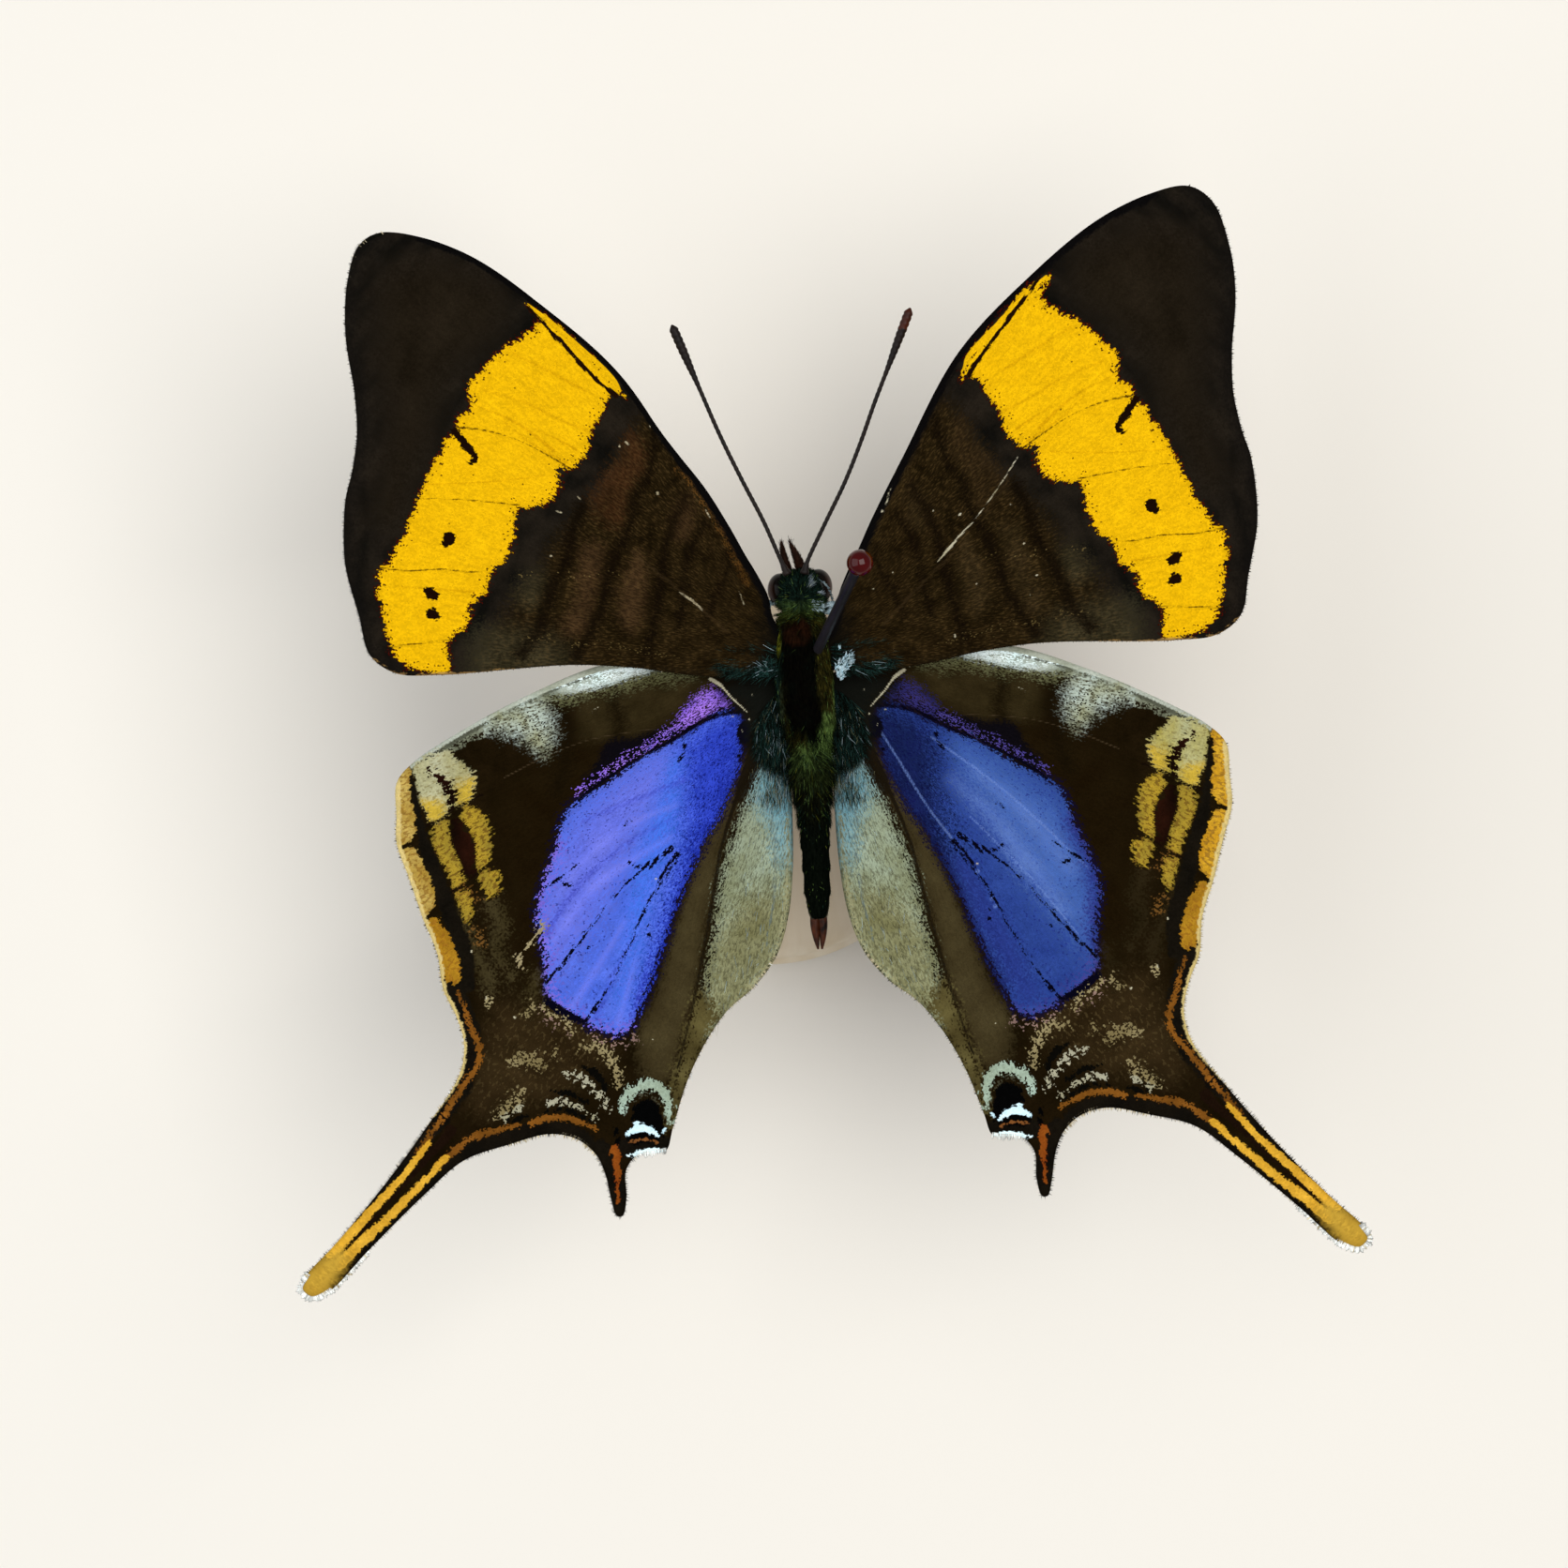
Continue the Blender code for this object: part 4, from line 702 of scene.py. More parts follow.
hindwing("tail_yellow", (206, 158, 50), (188, 140, 38),
    stroke((0.16, 0.2, 0.24, 0.3), (21.4, -25.5), (23, -27.4), (24.9, -29.3), (26.9, -31.2)),
    stroke((0.16, 0.2, 0.24, 0.3), (20.5, -26.3), (21.8, -27.6), (24, -29.6), (26.6, -31.8)), dither=0.1,
    ragged=0.12)
hindwing("tail_end", (182, 146, 52), (164, 128, 42),
    stroke((0.34, 0.66, 0.8), (26.3, -31.3), (27.2, -32.1), (27.9, -32.8)), dither=0.3, soft=0.5)
hindwing("tail_mid", (22, 12, 6),
    stroke((0.3, 0.16, 0.1, 0.07, 0.02), (20.2, -24.9), (21.5, -26.3), (23, -27.9), (24.9, -29.8),
        (26.5, -31.4)), dither=0.06, ragged=0.1)
hindwing("cream_edge", (206, 184, 118), (188, 168, 108),
    stroke((0.2, 0.25, 0.22, 0.2, 0.18, 0.14, 0.1, 0.05), *HINDWING_TERMEN, (21, -24)), dither=0.08,
    ragged=0.1, soft=0.05)
print("hindwing layers:", len(HINDWING_LAYERS))

# %% [markdown]
# Pale crescents with black ones beside them lie between the patch and the tails.

# %% Pale crescents
hindwing("lunules_tan", (142, 130, 94), (112, 100, 66),
    stroke((0.12, 0.2, 0.15), (13.1, -20.7), (12.3, -20.8), (11.6, -21.3), (11.2, -22.1), (11.15, -22.9)),
    stroke((0.3, 0.25), (16.5, -21.3), (15.9, -21.3), (15.3, -21.5)),
    stroke((0.12, 0.3, 0.15), (16.3, -23.1), (16.9, -23.7), (17.6, -24.2)),
    stroke((0.12, 0.06), (13.4, -19.9), (14.1, -19.2), (15, -18.6)),
    dots(0.12, (15.9, -18.9), (15.5, -18.4), (17.9, -18.2), (14.4, -21)), dither=0.5, ragged=0.5, cover=0.72,
    soft=0.08)
hindwing("edge_scratch", (150, 138, 104), (120, 106, 74), stroke(0.1, (14.7, -14.1), (15, -14.5)),
    stroke(0.08, (15.2, -14.7), (15.7, -15.4)), stroke(0.07, (16.1, -15.8), (16, -16.3)), dither=0.3,
    ragged=0.4, only="left")
hindwing("lunules_pale", (164, 162, 142), (140, 136, 110),
    stroke((0.1, 0.2, 0.14), (13.9, -22.2), (13.1, -22.4), (12.45, -22.9), (12.05, -23.6), (11.85, -24.1)),
    stroke((0.08, 0.16, 0.1), (15, -23.7), (14, -23.7), (13.1, -24.1), (12.6, -24.6)),
    stroke(0.09, (16.4, -23.9), (17.3, -24.4)), dither=0.3, ragged=0.4, cover=0.85)
hindwing("lunules_black", (8, 7, 5), stroke((0.08, 0.26, 0.1), (13, -21.8), (12.25, -22.35), (11.8, -23.1)),
    stroke((0.06, 0.15, 0.08), (14.6, -23.1), (13.7, -23.25), (12.9, -23.8)),
    stroke((0.07, 0.14, 0.1), (15.2, -24.1), (13.9, -24.15), (12.8, -24.7)),
    stroke((0.1, 0.12), (15.8, -24.3), (17, -24.5)), dither=0.15, ragged=0.2)
print("hindwing layers:", len(HINDWING_LAYERS))

# %% [markdown]
# In the corner lies one larger eyespot, black under a pale arc, and the short tail has a red-brown stripe.
# A few pale specks are strewn over the whole wing.

# %% The eyespot and the short tail
hindwing("eyespot_arc", (158, 180, 166), (130, 142, 120),
    stroke((0.16, 0.28, 0.32, 0.26, 0.12), (11.05, -24.3), (10.8, -23.6), (10.2, -23.15), (9.4, -23),
        (8.75, -23.4), (8.5, -24.1), (8.5, -25)), dither=0.25, ragged=0.3)
hindwing("arc_hairs", (60, 58, 44),
    stroke((0.1, 0.2, 0.1), (11, -24.4), (10.5, -23.7), (9.6, -23.5), (8.9, -24), (8.8, -25)), dither=0.3,
    ragged=0.8, cover=0.35, strength=0.8)
hindwing("eyespot_black", (4, 4, 4),
    area((10.55, -25.1), (10.4, -24.2), (9.8, -23.75), (9.15, -24), (8.85, -25), (9, -25.9), (10, -26.1),
        (10.9, -25.9)), stroke(0.12, (11.35, -25.3), (11.4, -26)), dither=0.12, ragged=0.2)
hindwing("eyespot_white", (212, 240, 250), (176, 212, 226),
    stroke((0.1, 0.2, 0.2, 0.09), (10.8, -25.6), (10.3, -25.3), (9.7, -25.35), (9.15, -25.7)),
    stroke(0.07, (10.5, -25), (10.05, -24.95)), stroke(0.06, (8.75, -25.4), (8.95, -25.6)), dither=0.1,
    ragged=0.1)
hindwing("tornus_line", (120, 74, 36),
    stroke((0.03, 0.07, 0.03), (10.9, -26.05), (10.3, -25.9), (9.6, -25.95), (9.1, -26.15)), dither=0.06,
    strength=0.9)
hindwing("tornus_white", (222, 246, 250), (200, 226, 232),
    stroke((0.08, 0.2, 0.22, 0.12), (10.8, -26.75), (10.2, -26.62), (9.5, -26.6), (8.9, -26.55)),
    dither=0.06, ragged=0.1)
hindwing("short_tail_red", (112, 46, 12), (132, 74, 22),
    stroke((0.2, 0.17, 0.11, 0.05), (11.5, -26.3), (11.45, -27), (11.42, -28), (11.42, -29.2)), dither=0.12,
    ragged=0.2)
hindwing("pale_scratches", (190, 184, 156),
    stroke((0.1, 0.05, 0.03, 0.015), (5.2, -1.45), (4.6, -1.85), (4.1, -2.5), (3.3, -3.3)),
    dots(0.07, (16.5, -19), (18.6, -15.4), (9.2, -20.6), (8.6, -12), (13, -22.9), (18, -17.9)),
    dots(0.045, (3.9, -2.6), (3.5, -3.1), (3.2, -3.7), (4.1, -3.5), (3, -2.4), (2.7, -3.9), (3.6, -4.3)),
    stroke(0.025, (11.6, -2.9), (11.2, -2.6)), dither=0.04, ragged=0.06, strength=0.85)
print("hindwing layers:", len(HINDWING_LAYERS))

# %% [markdown]
# The underside isn't seen from above, but the model can be turned over. It is plainer and paler,
# like a dead leaf: lilac grey brown with straight darker lines across both wings.

# %% The underside
UNDER_FOREWING, forewing_below = layers_for()
UNDER_HINDWING, hindwing_below = layers_for()
forewing_below("band", (206, 178, 112), (190, 158, 92), BAND, dither=0.6, soft=0.4, ragged=0.4)
forewing_below("under_lines", (70, 50, 38), (92, 70, 52),
    stroke(0.12, (17.6, 21.6), (15, 14), (12.6, 6), (11.4, -0.4)),
    stroke(0.1, (9.6, 14.8), (8.2, 8), (7.4, 3.6), (7, -0.6)),
    stroke(0.07, (5.4, 8.6), (5.2, 5), (4.6, 1.5)), dither=0.2, soft=0.12, strength=0.8)
hindwing_below("under_lines", (74, 52, 40), (96, 72, 54),
    stroke(0.13, (15.2, -2.4), (14.2, -9), (12.4, -16), (10.4, -22.6)),
    stroke(0.09, (9, -1), (7.8, -6.5), (5.6, -12)),
    stroke(0.07, (19.4, -4.6), (18.2, -11), (16.6, -17), (14.2, -22.6)), dither=0.2, soft=0.12, strength=0.8)
print("underside layers:", len(UNDER_FOREWING + UNDER_HINDWING))

# %% [markdown]
# Two node groups make the scales. The first lays out the scales themselves: long narrow cells in rows
# that fan out from the wing's root, each with its own random number. The second turns a distance
# into a mask whose edge breaks up scale by scale, which is what frays the edge of a real wing mark.
# Both only put out values, so they can be baked.

# %% Node helpers


def add_node(tree, kind, **settings):
    made = tree.nodes.new(kind)
    for key, value in settings.items():
        setattr(made, key, value)
    return made


def wire(tree, source, target):
    """Joins an output to an input, or sets the input to a plain value."""
    if isinstance(source, bpy.types.NodeSocket):
        tree.links.new(source, target)
    else:
        target.default_value = source


def math_node(tree, operation, first, second=0.0, clamp=False):
    made = add_node(tree, "ShaderNodeMath", operation=operation, use_clamp=clamp)
    wire(tree, first, made.inputs[0])
    wire(tree, second, made.inputs[1])
    return made.outputs[0]


def stretched(tree, vector, factors):
    made = add_node(tree, "ShaderNodeVectorMath", operation="MULTIPLY")
    wire(tree, vector, made.inputs[0])
    made.inputs[1].default_value = factors
    return made.outputs[0]


def noise(tree, vector, scale, detail=2.0, dimensions="3D"):
    """Noise spread over 0 to 1."""
    made = add_node(tree, "ShaderNodeTexNoise", noise_dimensions=dimensions)
    wire(tree, vector, made.inputs["Vector"])
    made.inputs["Scale"].default_value = scale
    made.inputs["Detail"].default_value = detail
    spread = add_node(tree, "ShaderNodeMapRange")
    wire(tree, made.outputs["Fac"], spread.inputs["Value"])
    spread.inputs["From Min"].default_value = 0.3
    spread.inputs["From Max"].default_value = 0.7
    return spread.outputs["Result"]


def mix(tree, factor, first, second, blend="MIX"):
    made = add_node(tree, "ShaderNodeMix", data_type="RGBA", blend_type=blend)
    wire(tree, factor, made.inputs[0])
    wire(tree, first, made.inputs[6])
    wire(tree, second, made.inputs[7])
    return made.outputs[2]


def multiplied(tree, colour, share):
    """A colour made darker or lighter by a number."""
    grey = add_node(tree, "ShaderNodeCombineColor")
    for channel in grey.inputs:
        wire(tree, share, channel)
    return mix(tree, 1.0, colour, grey.outputs[0], "MULTIPLY")


def object_place(tree):
    return add_node(tree, "ShaderNodeTexCoord").outputs["Object"]


def field_of(tree, name):
    return add_node(tree, "ShaderNodeAttribute", attribute_name=name).outputs["Fac"]


def raise_surface(tree, shader, height, depth, strength=0.5):
    """A bump of a depth in millimetres on the shader's normal."""
    bump = add_node(tree, "ShaderNodeBump")
    bump.inputs["Strength"].default_value = strength
    bump.inputs["Distance"].default_value = depth * MM
    wire(tree, height, bump.inputs["Height"])
    wire(tree, bump.outputs[0], shader.inputs["Normal"])


def group(name, inputs, outputs):
    """An empty shader group with named number inputs and outputs."""
    tree = bpy.data.node_groups.new(name, "ShaderNodeTree")
    for socket, kind in inputs:
        tree.interface.new_socket(socket, in_out="INPUT", socket_type=kind)
    for socket, kind in outputs:
        tree.interface.new_socket(socket, in_out="OUTPUT", socket_type=kind)
    return tree, add_node(tree, "NodeGroupInput"), add_node(tree, "NodeGroupOutput")


NUMBER = "NodeSocketFloat"
VECTOR = "NodeSocketVector"
print("node helpers ready")

# %% The scale groups
SCALE_LENGTH = 0.085
SCALE_WIDTH = 0.052
SCALE_RELIEF = 0.03

wing_scales, entry, result = group(
    "wing_scales", [("Vector", VECTOR)],
    [(name, NUMBER) for name in ("Random", "Chance", "Relief", "Streak", "Cloud", "Fleck", "Light")])
cells = add_node(wing_scales, "ShaderNodeTexVoronoi", voronoi_dimensions="2D")
cells.inputs["Scale"].default_value = 1.0
cells.inputs["Randomness"].default_value = 0.8
wire(wing_scales, stretched(wing_scales, entry.outputs[0], (1 / SCALE_LENGTH, 1 / SCALE_WIDTH, 1)),
     cells.inputs["Vector"])
parts = add_node(wing_scales, "ShaderNodeSeparateColor")
wire(wing_scales, cells.outputs["Color"], parts.inputs[0])
wire(wing_scales, parts.outputs[0], result.inputs["Random"])
wire(wing_scales, parts.outputs[1], result.inputs["Chance"])
wire(wing_scales, math_node(wing_scales, "SUBTRACT", 1.0, cells.outputs["Distance"]), result.inputs["Relief"])
streaked = stretched(wing_scales, entry.outputs[0], (1.3, 8.0, 1))
wire(wing_scales, noise(wing_scales, streaked, 1.0, dimensions="2D"), result.inputs["Streak"])
wire(wing_scales, noise(wing_scales, entry.outputs[0], 0.7, 4.0, dimensions="2D"), result.inputs["Cloud"])
flecks = noise(wing_scales, stretched(wing_scales, entry.outputs[0], (3.2, 11.0, 1)), 1.0, dimensions="2D")
wire(wing_scales, flecks, result.inputs["Fleck"])
wire(wing_scales, math_node(wing_scales, "SUBTRACT", 1.0, flecks), result.inputs["Light"])

PLACE_INPUTS = ["Distance", "Random", "Chance", "Streak"]
EDGE_SETTINGS = ["Dither", "Ragged", "Soft", "Strength", "Cover", "Grow"]
scale_edge, entry, result = group(
    "scale_edge", [(name, NUMBER) for name in PLACE_INPUTS + EDGE_SETTINGS], [("Mask", NUMBER)])
off = {name: entry.outputs[name] for name in PLACE_INPUTS + EDGE_SETTINGS}
moved = off["Distance"]
for source, reach in (("Random", "Dither"), ("Streak", "Ragged")):
    swing = math_node(scale_edge, "SUBTRACT", off[source], 0.5)
    moved = math_node(scale_edge, "ADD", moved, math_node(scale_edge, "MULTIPLY", swing, off[reach]))
moved = math_node(scale_edge, "SUBTRACT", moved, off["Grow"])
fade = add_node(scale_edge, "ShaderNodeMapRange", interpolation_type="SMOOTHSTEP")
wire(scale_edge, moved, fade.inputs["Value"])
wire(scale_edge, off["Soft"], fade.inputs["From Min"])
wire(scale_edge, math_node(scale_edge, "MULTIPLY", off["Soft"], -1.0), fade.inputs["From Max"])
chosen = math_node(scale_edge, "LESS_THAN", off["Chance"], off["Cover"])
covered = math_node(scale_edge, "MULTIPLY", fade.outputs[0], chosen)
covered = math_node(scale_edge, "MULTIPLY", covered, off["Strength"], clamp=True)
wire(scale_edge, covered, result.inputs["Mask"])
print("groups:", wing_scales.name, scale_edge.name)

# %% [markdown]
# A wing's material is then a stack: a base of two tones, and each layer painted over it through
# its mask. The last step lightens and darkens single scales, and raises each a little.

# %% The wing material


def principled(name, roughness, specular):
    """A new material with its Principled shader. The plain numbers are set on the shader itself."""
    made = bpy.data.materials.new(name)
    made.use_nodes = True
    shader = made.node_tree.nodes["Principled BSDF"]
    shader.inputs["Roughness"].default_value = roughness
    shader.inputs["Specular IOR Level"].default_value = specular
    return made, made.node_tree, shader


def paint(tree, scales, colour, layers, side):
    """Paints the layers over a colour and returns the new colour."""
    masks = {}
    for coat in layers:
        if coat["only"] not in (None, side):
            continue
        edge = add_node(tree, "ShaderNodeGroup", node_tree=scale_edge)
        wire(tree, field_of(tree, coat["field"]), edge.inputs["Distance"])
        for name, source in (("Random", "Random"), ("Chance", coat["by"]), ("Streak", "Streak")):
            wire(tree, scales.outputs[source], edge.inputs[name])
        for name in EDGE_SETTINGS:
            edge.inputs[name].default_value = coat[name.lower()]
        mask = edge.outputs["Mask"]
        if coat["within"]:
            mask = math_node(tree, "MULTIPLY", mask, masks[coat["within"]])
        if coat["cover"] == 1.0 and coat["marks"]:
            masks[coat["field"]] = mask
        first, second = coat["right"] if side == "right" else coat["tones"]
        shade = mix(tree, scales.outputs["Cloud"], tone(*first), tone(*second))
        colour = mix(tree, mask, colour, shade)
    return colour


def wing_material(name, first, second, layers, side):
    made, tree, shader = principled(name, 0.62, 0.0)
    place = add_node(tree, "ShaderNodeUVMap", uv_map="scales")
    scales = add_node(tree, "ShaderNodeGroup", node_tree=wing_scales)
    wire(tree, place.outputs[0], scales.inputs["Vector"])
    base = mix(tree, scales.outputs["Cloud"], tone(*first), tone(*second))
    colour = paint(tree, scales, base, layers, side)
    grain = math_node(tree, "ADD", math_node(tree, "MULTIPLY", scales.outputs["Random"], 0.26), 0.84)
    grain = math_node(tree, "ADD", grain, math_node(tree, "MULTIPLY", scales.outputs["Streak"], 0.16))
    wire(tree, multiplied(tree, colour, grain), shader.inputs["Base Color"])
    height = math_node(tree, "ADD", scales.outputs["Relief"], scales.outputs["Random"])
    raise_surface(tree, shader, height, SCALE_RELIEF)
    return made


print("a scale is", SCALE_LENGTH, "by", SCALE_WIDTH, "mm")

# %% [markdown]
# Each wing starts as a fine flat grid. What lies outside the outline is deleted in edit mode, the
# rim is pulled onto the outline, the sheet takes the wing's rise and veins, and a Solidify modifier
# gives it two faces. A fine grid is used rather than an extruded outline,
# because the layers' distances are kept on its points.

# %% Building a wing
SPACING = 0.105
MEMBRANE = 0.14               # thickness of the thin skin
COSTA_SHIFT = 0.5             # how far back the left forewing's front edge lies


def deselect():
    if bpy.context.object and bpy.context.object.mode != "OBJECT":
        bpy.ops.object.mode_set(mode="OBJECT")
    bpy.ops.object.select_all(action="DESELECT")


def edit_all():
    """Edit mode, with everything selected."""
    bpy.ops.object.mode_set(mode="EDIT")
    bpy.ops.mesh.select_all(action="SELECT")


def close_edit():
    """Turns the normals outwards and leaves edit mode."""
    bpy.ops.mesh.select_all(action="SELECT")
    bpy.ops.mesh.normals_make_consistent(inside=False)
    bpy.ops.object.mode_set(mode="OBJECT")


def points_of(mesh):
    flat = np.empty(len(mesh.vertices) * 3)
    mesh.vertices.foreach_get("co", flat)
    return flat.reshape(-1, 3)


def set_points(mesh, points):
    mesh.vertices.foreach_set("co", np.ascontiguousarray(points, float).ravel())
    mesh.update()


def border_counts(mesh):
    """How many border edges meet at each point."""
    ends = np.empty(len(mesh.edges) * 2, int)
    mesh.edges.foreach_get("vertices", ends)
    used = np.empty(len(mesh.loops), int)
    mesh.loops.foreach_get("edge_index", used)
    border = np.bincount(used, minlength=len(mesh.edges)) == 1
    return np.bincount(ends.reshape(-1, 2)[border].ravel(), minlength=len(mesh.vertices))


def delete_points(obj, doomed):
    mesh = obj.data
    bpy.ops.object.mode_set(mode="EDIT")
    bpy.ops.mesh.select_all(action="DESELECT")
    bpy.ops.object.mode_set(mode="OBJECT")
    mesh.vertices.foreach_set("select", doomed)
    bpy.ops.object.mode_set(mode="EDIT")
    bpy.ops.mesh.delete(type="VERT")
    bpy.ops.mesh.select_all(action="SELECT")
    bpy.ops.mesh.delete_loose()
    bpy.ops.object.mode_set(mode="OBJECT")


def onto_outline(spots, loop):
    """Moves each spot to the nearest place on a closed outline."""
    ends = np.roll(loop, -1, axis=0)
    d = ends - loop
    moved = []
    for spot in spots:
        t = np.clip(np.sum((spot - loop) * d, axis=1) / np.maximum(np.sum(d * d, axis=1), 1e-12), 0, 1)
        on = loop + d * t[:, None]
        moved.append(on[np.argmin(np.linalg.norm(on - spot, axis=1))])
    return np.array(moved)


def wing_sheet(name, outline, veins, height, layers):
    """The right wing as a thin closed skin in millimetres, which carries its layers' distances."""
    deselect()
    loop = curve_through(outline, 0.12, closed=True)
    low, size = loop.min(0) - SPACING, np.ptp(loop, axis=0) + 2 * SPACING
    cuts = np.ceil(size / SPACING).astype(int)
    bpy.ops.mesh.primitive_grid_add(x_subdivisions=int(cuts[0]), y_subdivisions=int(cuts[1]), size=1.0)
    obj = bpy.context.object
    obj.name = obj.data.name = name
    flat = points_of(obj.data)
    flat[:, :2] = low + (flat[:, :2] + 0.5) * size
    set_points(obj.data, flat)
    delete_points(obj, area_distance(flat[:, :2], loop) > -0.3 * SPACING)
    for _ in range(3):
        pinched = border_counts(obj.data) > 2
        if pinched.any():
            delete_points(obj, pinched)
    flat = points_of(obj.data)
    rim = np.flatnonzero(border_counts(obj.data))
    flat[rim, :2] = onto_outline(flat[rim, :2], loop)
    flat[:, 2] = height(flat[:, 0], flat[:, 1]) + relief(flat[:, :2], veins)
    set_points(obj.data, flat)
    add_fields(obj.data, flat[:, :2], layers)
    bpy.ops.object.modifier_add(type="SOLIDIFY")
    obj.modifiers[-1].thickness = MEMBRANE
    obj.modifiers[-1].offset = 0.0
    bpy.ops.object.modifier_apply(modifier=obj.modifiers[-1].name)
    return obj


def add_fields(mesh, at, layers):
    """Keeps each layer's distance on the mesh."""
    for coat in layers:
        if coat["marks"] and coat["field"] not in mesh.attributes:
            field = mesh.attributes.new(coat["field"], "FLOAT", "POINT")
            nearest = np.min([mark(at) for mark in coat["marks"]], axis=0)
            field.data.foreach_set("value", nearest.astype(np.float32))


def loop_points(mesh):
    index = np.empty(len(mesh.loops), int)
    mesh.loops.foreach_get("vertex_index", index)
    return index


def set_uv(mesh, name, per_point):
    made = mesh.uv_layers.new(name=name)
    made.data.foreach_set("uv", per_point[loop_points(mesh)].astype(np.float32).ravel())


def lower_front(points):
    """Draws the left forewing's front edge in beyond its middle, where it lies farther back."""
    off = line_distance(points[:, :2], curve_through(FOREWING_COSTA + FOREWING_APEX))
    share = np.minimum(np.clip((points[:, 1] - 8) / 5, 0, 1), np.clip((24.2 - points[:, 0]) / 3.5, 0, 1))
    outwards = np.clip((23.5 - points[:, 1]) / 4, 0, 1)
    step = COSTA_SHIFT * share ** 2 * (3 - 2 * share) * np.exp(-(off / 0.8) ** 2)
    moved = points.copy()
    moved[:, 0] += 0.75 * outwards * step
    moved[:, 1] -= step * (1 - 0.35 * outwards)
    return moved


def finish_wing(obj, points, root, upper, under, side):
    """Sets the scale rows' UV map and the two materials, and puts the wing on its side."""
    mesh = obj.data
    arm = points[:, :2] - np.array(root)
    reach = np.linalg.norm(arm, axis=1)
    turn = np.arctan2(arm[:, 1], arm[:, 0])
    set_uv(mesh, "scales", np.stack([reach, turn * 14], axis=1))
    normals = np.empty(len(mesh.polygons) * 3, np.float32)
    mesh.polygons.foreach_get("normal", normals)
    mesh.polygons.foreach_set("material_index", (normals[2::3] < -0.3).astype(int))
    mesh.materials.append(upper)
    mesh.materials.append(under)
    placed = (points + (0, ROOT_Y, 0)) * MM
    if side == "left":
        placed[:, 0] *= -1
    set_points(mesh, placed)
    if side == "left":
        mesh.flip_normals()
    mesh.shade_smooth()


print("grid spacing", SPACING, "mm")

# %% The four wings
FOREWING_ROOT = (-2.0, -1.0)
HINDWING_ROOT = (-1.0, 1.0)
UNDER_TONES = ((122, 106, 92), (98, 82, 70))
WINGS = [
    ("forewing", FOREWING, FOREWING_VEINS, forewing_height, FOREWING_LAYERS, UNDER_FOREWING, FOREWING_ROOT,
     (NEAR_BLACK, (30, 25, 19))),
    ("hindwing", HINDWING, HINDWING_VEINS, hindwing_height, HINDWING_LAYERS, UNDER_HINDWING, HINDWING_ROOT,
     ((25, 17, 6), (17, 11, 3)))]

for kind, outline, veins, height, layers, unders, root, base in WINGS:
    right = wing_sheet(f"{kind}_skin_right", outline, veins, height, layers + unders)
    points = points_of(right.data)
    left = bpy.data.objects.new(f"{kind}_skin_left", right.data.copy())
    bpy.context.scene.collection.objects.link(left)
    for side, obj in (("left", left), ("right", right)):
        upper = wing_material(f"{kind}_upper_{side}", *base, layers, side)
        under = wing_material(f"{kind}_under_{side}", *UNDER_TONES, unders, side)
        lowered = kind == "forewing" and side == "left"
        finish_wing(obj, lower_front(points) if lowered else points, root, upper, under, side)
        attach(obj, "root")
        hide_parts(f"{kind}_{side}")
    print(kind, "points", len(points), "faces", len(right.data.polygons))

# %% [markdown]
# The body is one skin from the face to the end of the abdomen, so no seam shows between the parts.
# It is grown ring by ring, as by hand: a circle is laid, its cap is extruded forwards and scaled,
# again and again. Each abdomen segment steps out where it overlaps the next one.

# %% Rings of the body
ABDOMEN_FRONT = -5.8
ABDOMEN_BACK = -14.45
SEGMENTS = 7
# share of a segment, and its swelling
SEGMENT_RINGS = [(0.0, 0.035), (0.08, 0.05), (0.5, 0.0), (0.9, -0.05)]
# forwards, height over the body line, half width, half height
THORAX_RINGS = [(-5.4, -0.25, 0.96, 0.94), (-5.1, -0.2, 1.1, 1.15), (-4.5, -0.1, 1.3, 1.5),
    (-3.7, 0, 1.48, 1.84), (-2.6, 0.1, 1.56, 2.04), (-1.4, 0.2, 1.56, 2.04), (-0.4, 0.35, 1.54, 1.84),
    (0.25, 0.42, 1.46, 1.58), (0.8, 0.46, 1.38, 1.3), (1.2, 0.44, 1.3, 1.14)]
COLLAR_RINGS = [(1.4, 0.42, 1.24, 1.08), (1.65, 0.4, 1.16, 1.0), (1.85, 0.36, 1.06, 0.84)]
HEAD_RINGS = [(2.05, 0.32, 1.08, 0.9), (2.3, 0.26, 1.2, 1.16), (2.7, 0.2, 1.34, 1.28),
    (3.15, 0.16, 1.36, 1.3), (3.6, 0.18, 1.2, 1.16), (3.9, 0.2, 0.92, 0.88), (4.05, 0.22, 0.66, 0.6),
    (4.13, 0.24, 0.34, 0.3)]


def abdomen_rings():
    rings = [(ABDOMEN_BACK - 0.12, -0.82, 0.26, 0.28), (ABDOMEN_BACK - 0.05, -0.82, 0.44, 0.48)]
    length = (ABDOMEN_FRONT - ABDOMEN_BACK) / SEGMENTS
    for segment in range(SEGMENTS):
        for share, swell in SEGMENT_RINGS:
            y = ABDOMEN_BACK + (segment + share) * length
            along = (ABDOMEN_FRONT - y) / (ABDOMEN_FRONT - ABDOMEN_BACK)
            half = 0.97 * (1.0 - 0.27 * along - 0.26 * max(0.0, (along - 0.86) / 0.14) ** 2
                          + 0.08 * max(0.0, 1 - along / 0.4)) + swell
            rings.append((y, -0.26 - 0.55 * along, half * 0.93, half))
    return rings


BODY_RINGS = abdomen_rings() + THORAX_RINGS + COLLAR_RINGS + HEAD_RINGS
print("body rings:", len(BODY_RINGS))

# %% Growing a form ring by ring


def in_place(x, y, z):
    """A place from the thorax reference, in metres in the frame."""
    return (x * MM, (y + ROOT_Y) * MM, z * MM)


